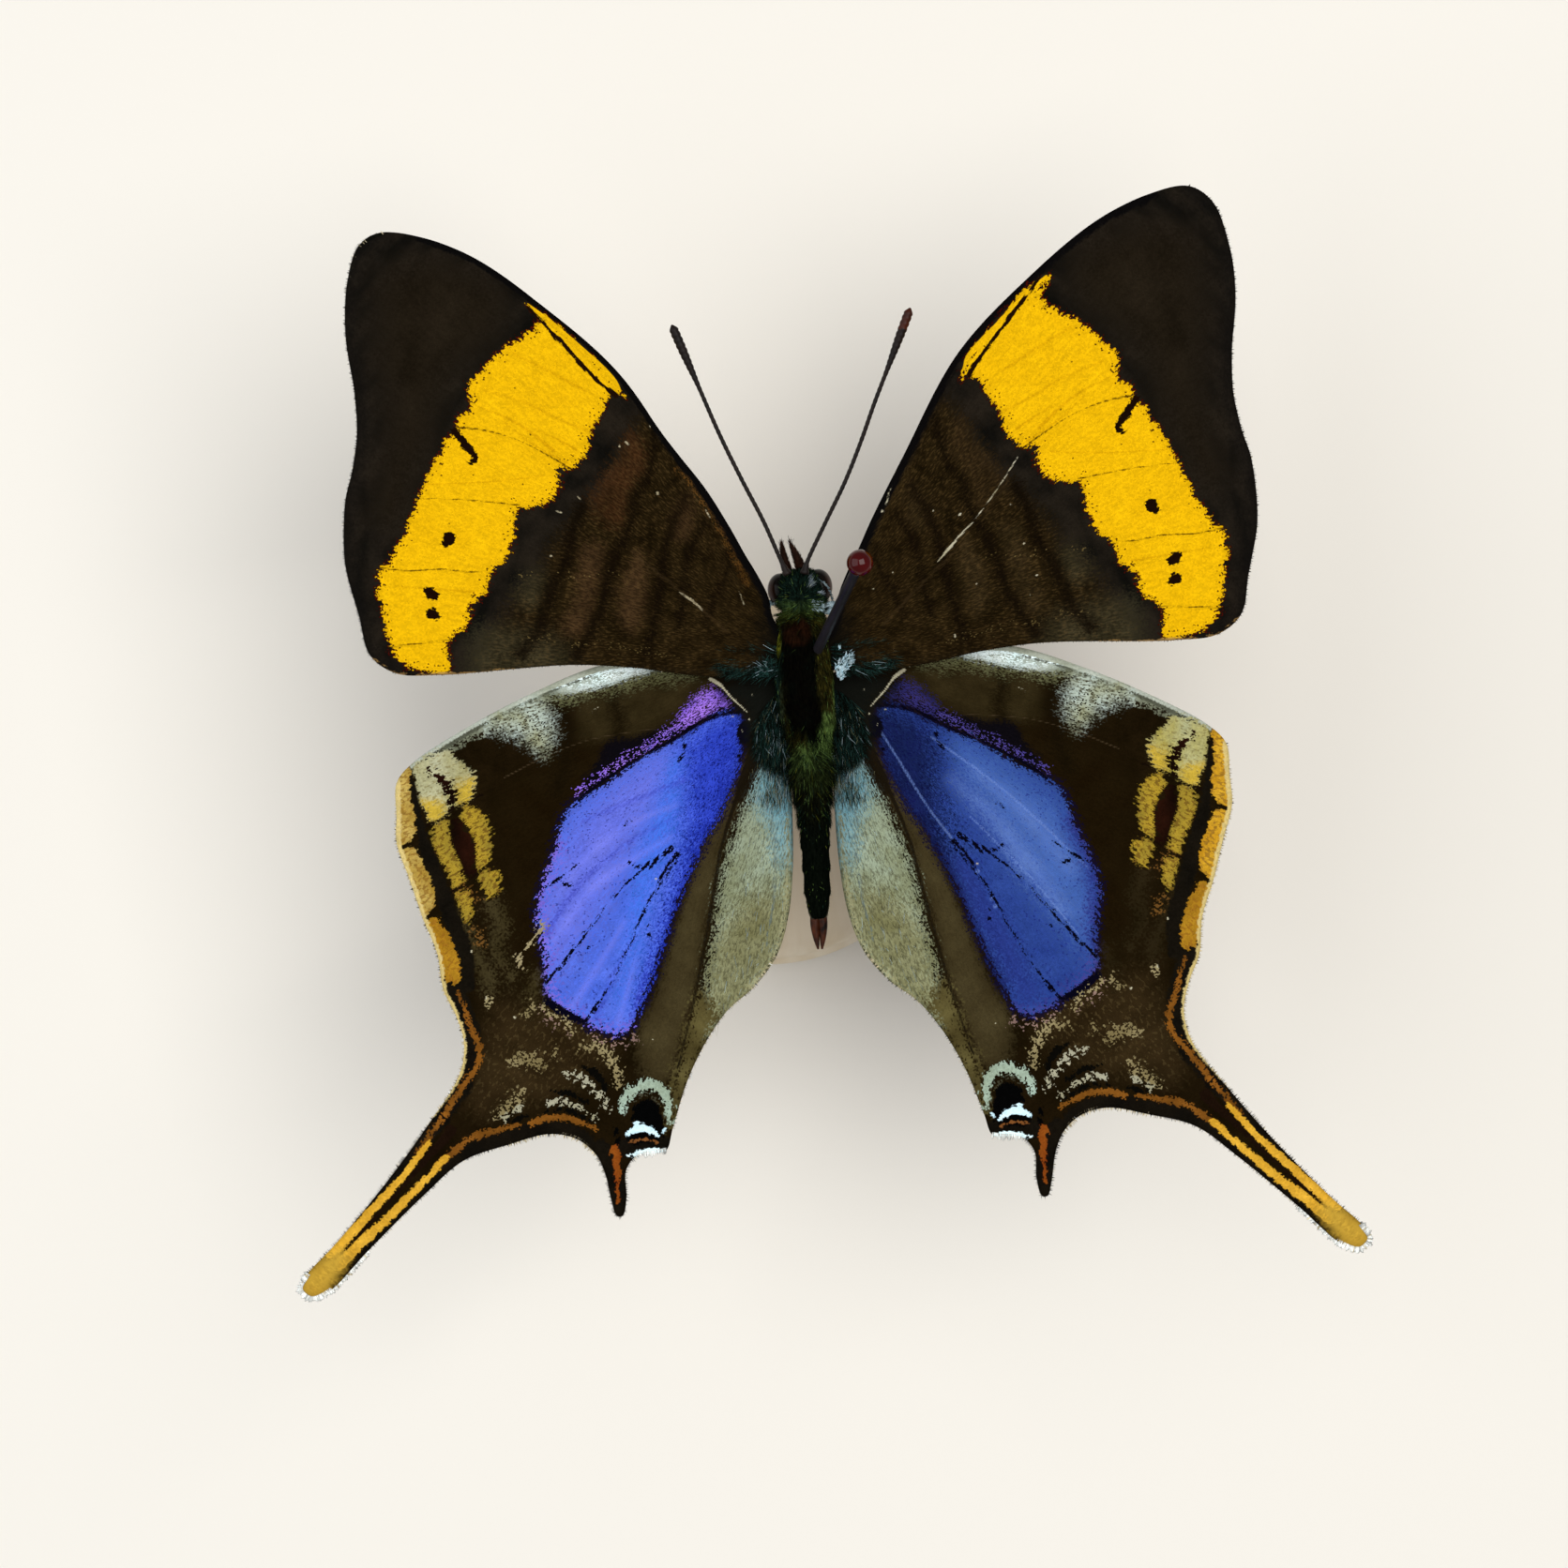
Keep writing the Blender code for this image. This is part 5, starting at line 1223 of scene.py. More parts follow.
def grow_rings(name, rings):
    """A closed form along Y from rings of four numbers each, as in THORAX_RINGS."""
    deselect()
    y, z, wide, high = rings[0]
    upright = (math.pi / 2, 0, 0)
    bpy.ops.mesh.primitive_circle_add(vertices=24, radius=MM, fill_type="NGON", rotation=upright)
    obj = bpy.context.object
    obj.name = obj.data.name = name
    bpy.ops.object.transform_apply(rotation=True)
    edit_all()
    bpy.ops.transform.resize(value=(wide, 1, high), center_override=(0, 0, 0))
    bpy.ops.transform.translate(value=in_place(0, y, BODY_Z + z))
    for ring in rings[1:]:
        step = (0, (ring[0] - y) * MM, (ring[1] - z) * MM)
        bpy.ops.mesh.extrude_region_move(TRANSFORM_OT_translate={"value": step})
        scale = (ring[2] / wide, 1, ring[3] / high)
        y, z, wide, high = ring
        bpy.ops.transform.resize(value=scale, center_override=in_place(0, y, BODY_Z + z))
    close_edit()
    bpy.ops.object.modifier_add(type="SUBSURF")
    obj.modifiers[-1].levels = obj.modifiers[-1].render_levels = 2
    bpy.ops.object.modifier_apply(modifier=obj.modifiers[-1].name)
    obj.data.shade_smooth()
    return obj


skin = grow_rings("body_skin", BODY_RINGS)
print("skin faces", len(skin.data.polygons))

# %% [markdown]
# The head is turned a little to the butterfly's left. The top of the thorax has a shallow seam along
# its middle and a raised shield at its back, pressed into the skin as soft dents.

# %% Turning the head and shaping the thorax
NECK = (-0.08, 1.85)
HEAD_YAW = math.radians(4)


def off_middle(y):
    """How far the thorax and the head lie to the left of the middle line."""
    return 0.18 * np.clip((y + 5.0) / 2.5, 0, 1)


def in_head(x, y, z):
    """A place in the head's own lengths, from the neck, as a place from the thorax reference."""
    c, s = math.cos(HEAD_YAW), math.sin(HEAD_YAW)
    return (c * x - s * y + NECK[0], s * x + c * y + NECK[1], BODY_Z + z)


at = points_of(skin.data) / MM - (0, ROOT_Y, 0)
head_share = np.clip((at[:, 1] - 1.7) / 0.35, 0, 1)
yaw = HEAD_YAW * head_share
x, y = at[:, 0].copy(), at[:, 1] - NECK[1]
turned_x, turned_y = np.cos(yaw) * x - np.sin(yaw) * y, np.sin(yaw) * x + np.cos(yaw) * y
upper = np.clip((at[:, 2] - BODY_Z) / 1.5, 0, 1) * np.exp(-((at[:, 1] + 2.2) / 2.2) ** 4)
seam = 0.1 * np.exp(-(at[:, 0] / 0.12) ** 2) * upper
shield = 0.14 * np.exp(-((at[:, 1] + 4.1) / 0.5) ** 2 - (at[:, 0] / 0.7) ** 2) * (at[:, 2] > BODY_Z)
seam += 0.1 * np.exp(-((at[:, 1] + 3.45) / 0.1) ** 2) * np.clip((at[:, 2] - BODY_Z) / 1.5, 0, 1)
at[:, 0] = turned_x - np.where(head_share > 0.5, -NECK[0], off_middle(at[:, 1]))
at[:, 1] = turned_y + NECK[1]
at[:, 2] += shield - seam
set_points(skin.data, (at + (0, ROOT_Y, 0)) * MM)
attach(skin, "root")
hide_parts("head", "prothorax", "thorax", "abdomen")
print("head turned by", round(math.degrees(HEAD_YAW)), "degrees")

# %% [markdown]
# Where each colour of hair grows. The same rule colours the skin and the hairs that stand on it:
# yellow-green along the sides of the thorax, on the collar and behind the shield, bluish green
# at the wing roots and on the head, bare and dark on the back, brown at the front of the thorax.

# %% Colours over the body


def bump_of(value, centre, width):
    return np.exp(-((value - centre) / width) ** 2)


# share, its middle, half width, half length and strength
BODY_PATCHES = [("bare", -0.45, -1.6, 1, 3.1, 1), ("bare", 0.2, -3.5, 0.55, 1.2, 1),
    ("brown", -0.45, 0.8, 0.8, 0.8, 0.8), ("olive", 0.95, -1.9, 0.6, 2.3, 0.9),
    ("olive", -1.3, -3, 0.3, 1.5, 0.5), ("olive", -0.9, -4.9, 0.8, 0.7, 0.6),
    ("olive", 0.45, 1.1, 0.35, 0.6, 0.8), ("gold", -1.6, 0.9, 0.35, 1.4, 1), ("gold", 1.55, 0, 0.4, 1.4, 1),
    ("gold", -0.5, 1.75, 1.4, 0.45, 0.1), ("green", -0.3, 2.1, 1.3, 0.4, 0.2),
    ("green", 1.5, -2.5, 0.25, 1.4, 0.9), ("green", 1.15, -4.6, 0.9, 1.3, 1),
    ("green", -0.7, -5.3, 1, 0.6, 0.5), ("teal", -0.2, 3, 1.6, 1, 0.3), ("olive", 0, -7.6, 1.3, 2.2, 0.25),
    ("green", 0.5, -6.4, 1, 1, 0.14), ("teal", -1.7, -2.6, 0.4, 2.2, 0.6), ("teal", 1.7, -2.2, 0.3, 2, 0.4),
    ("pale", 0.88, 2.8, 0.14, 0.12, 0.9), ("pale", 0.3, 3.3, 0.1, 0.3, 0.35),
    ("pale", 1.35, -5.2, 0.3, 0.5, 0.4)]


def body_fields(at):
    """Shares of each colour at places from the thorax reference: patches on the top, and a paler belly."""
    top = np.clip((at[:, 2] - BODY_Z - 0.2) / 0.6, 0, 1)
    fields = {name: np.zeros(len(at)) for name, _, _ in BODY_SHARES}
    for name, x, y, wide, long, strength in BODY_PATCHES:
        off = (np.abs(at[:, 0] - x) / wide) ** 3 + (np.abs(at[:, 1] - y) / long) ** 3
        fields[name] = np.maximum(fields[name], strength * top * np.clip(1.6 * (1 - off), 0, 1))
    fields["belly"] = np.clip((BODY_Z - 0.5 - at[:, 2]) / 0.6, 0, 1)
    return fields


BODY_SHARES = [("teal", (8, 20, 16), (42, 70, 60)), ("olive", (18, 17, 6), (66, 60, 22)),
               ("green", (32, 50, 18), (116, 146, 76)), ("gold", (46, 52, 8), (120, 122, 34)),
               ("bare", (2, 2, 2), (6, 5, 3)), ("brown", (16, 7, 3), (34, 17, 8)),
               ("belly", (120, 116, 96), (150, 144, 120)), ("pale", (170, 192, 210), (214, 226, 236))]


def coat_material(name, first, second, shares, roughness=0.6, hairs=True):
    """Two base tones, then (field, tone, tone) for each share. Each hair also has its own shade."""
    made, tree, shader = principled(name, roughness, 0.0)
    place = object_place(tree)
    cloud = noise(tree, place, 1.6 / MM, 3.0)
    grain = noise(tree, stretched(tree, place, (9 / MM, 3 / MM, 9 / MM)), 1.0, 3.0)
    colour = mix(tree, grain, tone(*first), tone(*second))
    for field, dark, light in shares:
        patchy = math_node(tree, "ADD", cloud, 0.5)
        share = math_node(tree, "MULTIPLY", field_of(tree, field), patchy, clamp=True)
        colour = mix(tree, share, colour, mix(tree, grain, tone(*dark), tone(*light)))
    if hairs:
        colour = multiplied(tree, colour, field_of(tree, "shade"))
    wire(tree, colour, shader.inputs["Base Color"])
    raise_surface(tree, shader, grain, 0.05)
    return made


def set_fields(mesh, fields):
    for name, values in fields.items():
        made = mesh.attributes.new(name, "FLOAT", "POINT")
        made.data.foreach_set("value", np.asarray(values, np.float32))


under_coat = body_fields(points_of(skin.data) / MM - (0, ROOT_Y, 0))
for name in ("gold", "green", "teal", "olive"):
    under_coat[name] = under_coat[name] * 0.3
set_fields(skin.data, under_coat)
skin.data.materials.append(coat_material("body_scales", (2, 4, 2), (8, 11, 7), BODY_SHARES, hairs=False))
print("skin painted")

# %% [markdown]
# Hair is made of tufts: each is a thin closed blade with three sides that bends and tapers to a point.
# All tufts of one coat are one mesh. A tuft keeps the colour shares of the place where it is rooted,
# and its patch in the OFBake map lies at that place on an unwrap of the skin.

# %% Tufts
TUFT_STAGES = [(0.0, 1.0), (0.4, 0.85), (0.75, 0.5)]      # share of the length, and share of the width
PATCH_SIZE = 0.003
draw = np.random.default_rng(7)


def unit(vectors):
    return vectors / np.maximum(np.linalg.norm(vectors, axis=1, keepdims=True), 1e-9)


def tufts(name, roots, normals, lie, length, width, lift, unwrap, material, fields, curl=0.35, spread=0.3):
    """Places are in millimetres. lie is the way a tuft points along the skin, lift its rise in radians."""
    count = len(roots)
    normals = unit(normals)
    lie = unit(lie - normals * np.sum(lie * normals, axis=1, keepdims=True))
    turn = draw.normal(0, spread, count)[:, None]
    lie = unit(lie * np.cos(turn) + np.cross(normals, lie) * np.sin(turn))
    lift = (lift * draw.uniform(0.6, 1.4, count))[:, None]
    way = lie * np.cos(lift) + normals * np.sin(lift)
    across = unit(np.cross(way, normals))
    above = np.cross(across, way)
    length = (length * draw.uniform(0.65, 1.25, count))[:, None]
    width = (width * draw.uniform(0.75, 1.2, count))[:, None]
    sway = draw.normal(0, 0.16, count)[:, None]
    ring = [(math.cos(a), math.sin(a)) for a in np.radians((90, 210, 330))]
    rows, shares = [], []
    for share, girth in TUFT_STAGES + [(1.0, 0.0)]:
        bend = (lie * 0.3 - normals * curl + across * sway) * length * share ** 2 * 0.5
        middle = roots + way * length * share + bend
        for c, s in ring if girth else ring[:1]:
            rows.append(middle + (across * c + above * s * 0.5) * width * girth)
            shares.append(share)
    points = np.stack(rows, axis=1).reshape(-1, 3)
    faces = [(0, 2, 1)]
    for stage in range(len(TUFT_STAGES) - 1):
        for k in range(3):
            a, b = 3 * stage + k, 3 * stage + (k + 1) % 3
            faces.append((a, b, b + 3, a + 3))
    last = 3 * (len(TUFT_STAGES) - 1)
    faces += [(last + k, last + (k + 1) % 3, last + 3) for k in range(3)]
    step = len(rows)
    every = [[i + step * t for i in face] for t in range(count) for face in faces]
    mesh = bpy.data.meshes.new(name)
    mesh.from_pydata((points + (0, ROOT_Y, 0)) * MM, [], every)
    obj = bpy.data.objects.new(name, mesh)
    bpy.context.scene.collection.objects.link(obj)
    set_fields(mesh, {key: np.repeat(values, step) for key, values in fields.items()})
    own = np.repeat(draw.uniform(0.55, 1.35, count), step)
    set_fields(mesh, {"shade": own * np.tile(0.75 + 0.4 * np.array(shares), count)})
    corner = np.stack([np.tile(np.arange(step) % 3 / 2, count), np.tile(np.array(shares), count)], axis=1)
    set_uv(mesh, "OFBake", np.repeat(unwrap, step, axis=0) + corner * PATCH_SIZE)
    mesh.materials.append(material)
    mesh.shade_smooth()
    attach(obj, "root")
    return obj


def scatter(obj, count, weight):
    """Random places on a mesh in millimetres, with their normals. weight says how dense they are there."""
    mesh = obj.data
    mesh.calc_loop_triangles()
    corners = np.array([t.vertices for t in mesh.loop_triangles])
    points = points_of(mesh) / MM - (0, ROOT_Y, 0)
    a, b, c = (points[corners[:, k]] for k in range(3))
    normals = np.cross(b - a, c - a)
    area_of = np.linalg.norm(normals, axis=1) * weight((a + b + c) / 3)
    picked = draw.choice(len(corners), count, p=area_of / area_of.sum())
    u, v = draw.uniform(0, 1, (2, count, 1))
    flip = u + v > 1
    u, v = np.where(flip, 1 - u, u), np.where(flip, 1 - v, v)
    return a[picked] + (b - a)[picked] * u + (c - a)[picked] * v, unit(normals[picked])


print("a tuft has", 3 * len(TUFT_STAGES) + 1, "points")

# %% Hair of the body


def round_unwrap(at):
    """The body unrolled: once round across, and its length up."""
    round_share = np.arctan2(at[:, 0], at[:, 2] - BODY_Z) / (2 * math.pi) + 0.5
    return np.stack([round_share * 0.98, (at[:, 1] + 15) / 20], axis=1)


def lying_back(at):
    """On the body hair lies backwards and a little outwards; on the head it fans out over the eyes."""
    outwards = np.sign(at[:, 0] + 0.15) * (0.3 + 0.9 * bump_of(at[:, 1], 1.7, 0.5))
    lie = np.stack([outwards, -np.ones(len(at)), np.zeros(len(at))], axis=1)
    fan = np.stack([at[:, 0] + 0.18, 0.6 * (at[:, 1] - 2.7), np.zeros(len(at))], axis=1)
    on_head = at[:, 1] > 2.1
    lie[on_head] = fan[on_head] + (0, 0.1, 0.1)
    return lie


def body_coat(name, count, weight, length, width, lift):
    at, normals = scatter(skin, count, weight)
    lengths = length(at) if callable(length) else length
    shares = body_fields(at)
    for colour, stray in (("gold", 0.01), ("green", 0.04), ("teal", 0.05)):
        odd = draw.uniform(0, 1, count) < stray
        shares[colour] = np.clip(shares[colour] * draw.uniform(0, 2.0, count) + 0.8 * odd, 0, 1)
    coat = tufts(name, at - normals * 0.04, normals, lying_back(at), lengths, width, lift,
                 round_unwrap(at), hair_material, shares)
    print(name, count, "tufts")


def not_bare(at):
    return 1 - 0.93 * body_fields(at)["bare"]


hair_material = coat_material("body_hair", (3, 6, 4), (13, 18, 12), BODY_SHARES, 0.55)
body_coat("thorax_coat", 7500, lambda at: not_bare(at) * (at[:, 1] > -6.3) * (at[:, 1] < 1.5),
          lambda at: 0.42 + 0.3 * np.clip((-at[:, 1] - 2.5) / 2.5, 0, 1), 0.028, 0.32)
body_coat("collar_coat", 3400, lambda at: (at[:, 1] > 1.3) * (at[:, 1] < 2.35) * 1.0, 0.55, 0.02, 0.45)
body_coat("head_coat", 6500, lambda at: (at[:, 1] > 2.2) * 1.0, 0.42, 0.02, 0.4)
body_coat("abdomen_coat", 6500,
          lambda at: (at[:, 1] < -5.6) * (1 + 2.5 * np.clip((at[:, 1] + 10.6) / 3, 0, 1)),
          lambda at: 0.2 + 0.6 * np.clip((at[:, 1] + 10.4) / 3, 0, 1), 0.022, 0.5)
body_coat("shield_coat", 3200, lambda at: bump_of(at[:, 1], -5.7, 0.8) * (at[:, 2] > BODY_Z - 0.5),
          1.15, 0.024, 0.36)

# %% [markdown]
# Long fine hairs also lie on the wings where they join the body, and down the inner panel of the
# hindwings. They are combed away from the root. Along every margin stands a fringe of short scales,
# cream between the veins of the hindwing, white at the tips of its long tails.

# %% Hair of the wings
HEIGHTS = {"forewing": forewing_height, "hindwing": hindwing_height}
WING_SHARES = [("teal", (9, 26, 24), (48, 84, 78)), ("tan", (124, 124, 88), (160, 158, 120)),
               ("pale", (150, 186, 200), (206, 224, 230)), ("cream", (176, 160, 124), (222, 210, 178)),
               ("white", (220, 222, 216), (246, 248, 244))]
wing_hair_material = coat_material("wing_hair", (8, 11, 8), (22, 24, 17), WING_SHARES, 0.6)


def flat_unwrap(at, side):
    return np.stack([at[:, 0] / 62 + (0.5 if side == "right" else 0.0), (at[:, 1] + 35) / 60], axis=1)


def drawn_shares(count, shares):
    """Each tuft is given whole to one colour, as often as its share says."""
    pick = draw.uniform(0, 1, count)
    fields, low = {}, 0.0
    for name, _, _ in WING_SHARES:
        high = low + shares.get(name, 0.0)
        fields[name] = ((pick >= low) & (pick < high)) * 1.0
        low = high
    return fields


def wing_tufts(name, kind, side, spots, lie, length, width, lift, shares, curl=0.2, spread=0.25, above=0.05):
    """Tufts on the upper face of a wing, from flat places on the right wing."""
    sign = 1 if side == "right" else -1
    height = HEIGHTS[kind](spots[:, 0], spots[:, 1]) + above
    roots = np.column_stack([spots[:, 0] * sign, spots[:, 1], height])
    lie = np.column_stack([lie[:, 0] * sign, lie[:, 1], np.zeros(len(lie))])
    up = np.tile((0.0, 0.0, 1.0), (len(roots), 1))
    made = tufts(name, roots, up, lie, length, width, lift, flat_unwrap(spots, side), wing_hair_material,
                 shares, curl, spread)
    return made


def spots_in(region, count):
    loop = curve_through(region, closed=True)
    found = np.empty((0, 2))
    while len(found) < count:
        more = draw.uniform(loop.min(0), loop.max(0), (count, 2))
        found = np.vstack([found, more[inside(more, loop)]])
    return found[:count]


# name, wing, region, where the hairs are combed from, count, length, width, lift, colour shares
WING_HAIR = [
    ("root_hair", "forewing", [(1.3, 0.0), (2.4, 0.1), (3.9, -0.1), (4.6, -0.8), (3.8, -1.3), (1.3, -1.2)],
     (0.2, -0.4), 1500, 0.75, 0.013, 0.2, {"teal": 0.45, "pale": 0.015}),
    ("root_hair", "hindwing", [(0.9, -2.2), (2.0, -2.6), (2.7, -3.6), (2.9, -4.8), (2.5, -5.8), (1.8, -6.2),
                               (1.2, -6.2), (0.9, -4.6)],
     (0.9, 1.0), 3200, 0.8, 0.013, 0.4, {"teal": 0.34, "pale": 0.015, "tan": 0.02}),
    ("fading_hair", "hindwing", [(1.1, -5.4), (3.0, -5.0), (3.4, -6.6), (2.6, -8.2), (1.2, -8.0)],
     (0.9, 1.0), 800, 0.7, 0.011, 0.15, {"teal": 0.4, "pale": 0.12, "tan": 0.2}),
    ("panel_hair", "hindwing", [(3.0, -6.4), (1.6, -6.9), (1.3, -9.0), (1.6, -13.0), (2.4, -16.2),
                                (4.4, -18.4), (7.0, -21.6), (8.0, -24.0), (6.9, -18.0), (5.5, -12.0),
                                (4.2, -8.2)],
     (-3.0, 2.0), 700, 0.7, 0.008, 0.02, {"tan": 0.72, "pale": 0.2, "teal": 0.0}),
    ("front_hair", "hindwing", [(3.4, -1.5), (6.0, -1.1), (9.5, -0.8), (9.0, -1.8), (5.0, -2.4)],
     (0.0, -1.4), 500, 0.6, 0.013, 0.08, {"tan": 0.25, "pale": 0.1}),
]
for name, kind, region, source, count, length, width, lift, shares in WING_HAIR:
    for side in ("left", "right"):
        spots = spots_in(region, count)
        wing_tufts(f"{kind}_{name}_{side}", kind, side, spots, spots - np.array(source), length, width, lift,
                   drawn_shares(count, shares))
    print(kind, name, count, "tufts a side")

# %% The pale tufts at the roots
# side, region, count, length, width, colour shares
ROOT_TUFTS = [
    ("right", [(1.5, -1.0), (1.8, -0.85), (2.1, -0.55), (2.3, -0.4), (2.42, -0.7), (2.3, -1.1), (2.0, -1.4),
               (1.75, -1.9), (1.55, -1.7)], 260, 0.22, 0.05, {"pale": 0.8, "teal": 0.15}),
    ("right", [(1.7, -0.1), (1.82, -0.1), (1.8, -0.3), (1.7, -0.3)], 12, 0.15, 0.03, {"pale": 0.8}),
    ("left", [(1.8, -0.7), (2.3, -0.75), (2.7, -1.0), (2.6, -1.5), (1.9, -1.5)], 130, 0.4, 0.018,
     {"pale": 0.09, "teal": 0.7})]
for index, (side, region, count, length, width, shares) in enumerate(ROOT_TUFTS):
    spots = spots_in(region, count)
    lie = np.tile((0.7, 0.5), (count, 1))
    wing_tufts(f"root_tuft_{index}", "forewing", side, spots, lie, length, width, 0.35,
               drawn_shares(count, shares), spread=0.7, above=0.3)
print("root tufts", len(ROOT_TUFTS))

# %% Fringes
# part of the outline, length and width of its fringe, share of cream, share of white
FRINGES = {
    "forewing": [(FOREWING_APEX + FOREWING_TERMEN + FOREWING_REAR[:2], 0.2, 0.035, 0.06, 0.0),
                 (FOREWING_REAR[1:], 0.16, 0.035, 0.1, 0.0)],
    "hindwing": [(HINDWING_TERMEN[:4], 0.22, 0.045, 0.85, 0.0),
                 (HINDWING_TERMEN[3:] + LONG_TAIL_OUTER[:1], 0.22, 0.05, 0.85, 0.05),
                 (LONG_TAIL_OUTER + LONG_TAIL_TIP[:1], 0.24, 0.03, 0.1, 0.0),
                 (LONG_TAIL_TIP + LONG_TAIL_INNER[:1], 0.3, 0.14, 0.06, 0.94),
                 (LONG_TAIL_INNER + TAIL_BAY[:1], 0.22, 0.03, 0.2, 0.0),
                 (TAIL_BAY[:4], 0.26, 0.045, 0.8, 0.1),
                 (TAIL_BAY[3:] + SHORT_TAIL[:3], 0.24, 0.03, 0.1, 0.0),
                 (SHORT_TAIL[2:] + TORNUS[:1], 0.24, 0.03, 0.1, 0.0),
                 (TORNUS, 0.3, 0.08, 0.0, 1.0),
                 (INNER_MARGIN[:6], 0.2, 0.035, 0.5, 0.05)]}
FRINGE_STEP = 0.055
FRINGE_ROOT = 0.14            # how far inside the margin a fringe scale is rooted

for kind, parts in FRINGES.items():
    rows = []
    for points, *numbers in parts:
        line = curve_through(points, FRINGE_STEP)
        along = unit(np.gradient(line, axis=0))
        outwards = np.column_stack([-along[:, 1], along[:, 0]])
        rooted = line - outwards * FRINGE_ROOT
        rows.append(np.column_stack([rooted, outwards, np.tile(numbers, (len(line), 1))]))
    rows = np.vstack(rows)
    spots, ways = rows[:, :2], rows[:, 2:4]
    lengths, widths, cream, white = rows[:, 4:].T
    for side in ("left", "right"):
        at = lower_front(spots) if (kind, side) == ("forewing", "left") else spots
        pick = draw.uniform(0, 1, len(spots))
        shares = {"cream": (pick < cream) * 1.0, "white": ((pick >= cream) & (pick < cream + white)) * 1.0}
        wing_tufts(f"{kind}_fringe_{side}", kind, side, at, ways, lengths, widths, 0.03, shares,
                   curl=0.1, spread=0.1, above=0.0)
    print(kind, "fringe", len(spots), "tufts a side")

# %% [markdown]
# The eyes are smooth glossy domes of dark red brown with very fine facets. They start as spheres
# that are stretched to the solids' eyes, and a thin ring of pale scales runs along their back rim.
# A broad patch of pale scales behind the right eye is also a painted highlight on the back of that eye.

# %% Eyes
EYE_AT = (1.02, 1.33, 0.05)
EYE_RADII = (0.72, 0.92, 0.88)


def glossy(name, first, second, roughness, scale, facet_depth=0.0, specular=0.25):
    """A finish of two mixed tones with a soft or a faceted surface."""
    made, tree, shader = principled(name, roughness, specular)
    place = object_place(tree)
    colour = mix(tree, noise(tree, place, scale / MM), tone(*first), tone(*second))
    wire(tree, colour, shader.inputs["Base Color"])
    if facet_depth:
        facets = add_node(tree, "ShaderNodeTexVoronoi")
        wire(tree, place, facets.inputs["Vector"])
        facets.inputs["Scale"].default_value = scale * 8 / MM
        raise_surface(tree, shader, facets.outputs["Distance"], facet_depth, 0.35)
    return made


def dressed(obj, node, material):
    obj.data.materials.clear()
    obj.data.materials.append(material)
    obj.data.shade_smooth()
    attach(obj, "root")
    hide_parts(node)
    return obj


eye_material = glossy("eye", (7, 5, 4), (14, 9, 6), 0.14, 1.6, 0.004, specular=0.08)
tree = eye_material.node_tree
shader = tree.nodes["Principled BSDF"]
inner = shader.inputs["Base Color"].links[0].from_socket
wire(tree, mix(tree, field_of(tree, "rim"), inner, tone(48, 19, 8)), shader.inputs["Base Color"])
SIDES = (("left", -1), ("right", 1))
EYES = {}
for side, sign in SIDES:
    deselect()
    bpy.ops.mesh.primitive_uv_sphere_add(segments=48, ring_count=28, radius=MM)
    eye = bpy.context.object
    eye.name = eye.data.name = f"eye_dome_{side}"
    edit_all()
    bpy.ops.transform.resize(value=EYE_RADII)
    bpy.ops.object.mode_set(mode="OBJECT")
    spots = points_of(eye.data) / MM
    set_fields(eye.data, {"rim": np.clip((sign * spots[:, 0] - 0.3) / 0.36, 0, 1) ** 1.5})
    c, s = math.cos(HEAD_YAW), math.sin(HEAD_YAW)
    spots[:, :2] = spots[:, :2] @ np.array([[c, s], [-s, c]])
    spots += in_head(sign * EYE_AT[0], EYE_AT[1], EYE_AT[2])
    set_points(eye.data, (spots + (0, ROOT_Y, 0)) * MM)
    EYES[side] = dressed(eye, f"eye_{side}", eye_material)
print("eyes", [o.name for o in EYES.values()])

# %% Pale scales round the eyes, and a painted highlight behind the right one
# line of the scales, count, half width of the strip, length, width, share of pale
EYE_SCALES_AND_GLARE = [([(-1.95, 2.6), (-1.75, 2.42), (-1.45, 2.45)], 60, 0.05, 0.14, 0.045, 0.6),
              ([(0.75, 3.62), (1.15, 3.3), (1.42, 2.8), (1.5, 2.5)], 70, 0.03, 0.12, 0.04, 0.3),
              # pale scales behind the right eye that also paint the highlight on the back of that eye
              ([(0.62, 2.2), (0.95, 2.05), (1.38, 2.12)], 900, 0.26, 0.15, 0.09, 1.0)]


def top_of(forms, x, y):
    """The height of the highest of some forms at a place, in millimetres."""
    start = in_place(x, y, 50)
    hits = [form.ray_cast(start, (0, 0, -1)) for form in forms]
    return max((hit[1][2] / MM for hit in hits if hit[0]), default=BODY_Z + 0.2)


bpy.context.view_layer.update()
for index, (points, count, half, length, width, pale) in enumerate(EYE_SCALES_AND_GLARE):
    line = curve_through(points, 0.02)
    spots = line[draw.integers(0, len(line), count)] + draw.uniform(-half, half, (count, 2))
    heights = [top_of([skin, *EYES.values()], x, y) for x, y in spots]
    roots = np.column_stack([spots, heights])
    up = np.tile((0.15, -0.15, 1.0), (count, 1))
    lie = np.tile((0.8, -0.5, 0.0), (count, 1))
    scales = tufts(f"eye_scales_{index}", roots, up, lie, length, width, 0.06, round_unwrap(roots),
                   wing_hair_material, {"pale": np.full(count, pale)})
print("scales round the eyes", len(EYE_SCALES_AND_GLARE))

# %% [markdown]
# Feelers, legs and the tongue are tapering rods. A curve with a round bevel and a radius at each
# point is the simplest hand-made rod; it is turned into a mesh once it has its shape. Rings pinched
# into the radius make the joints of the feelers and the feet.

# %% Rods


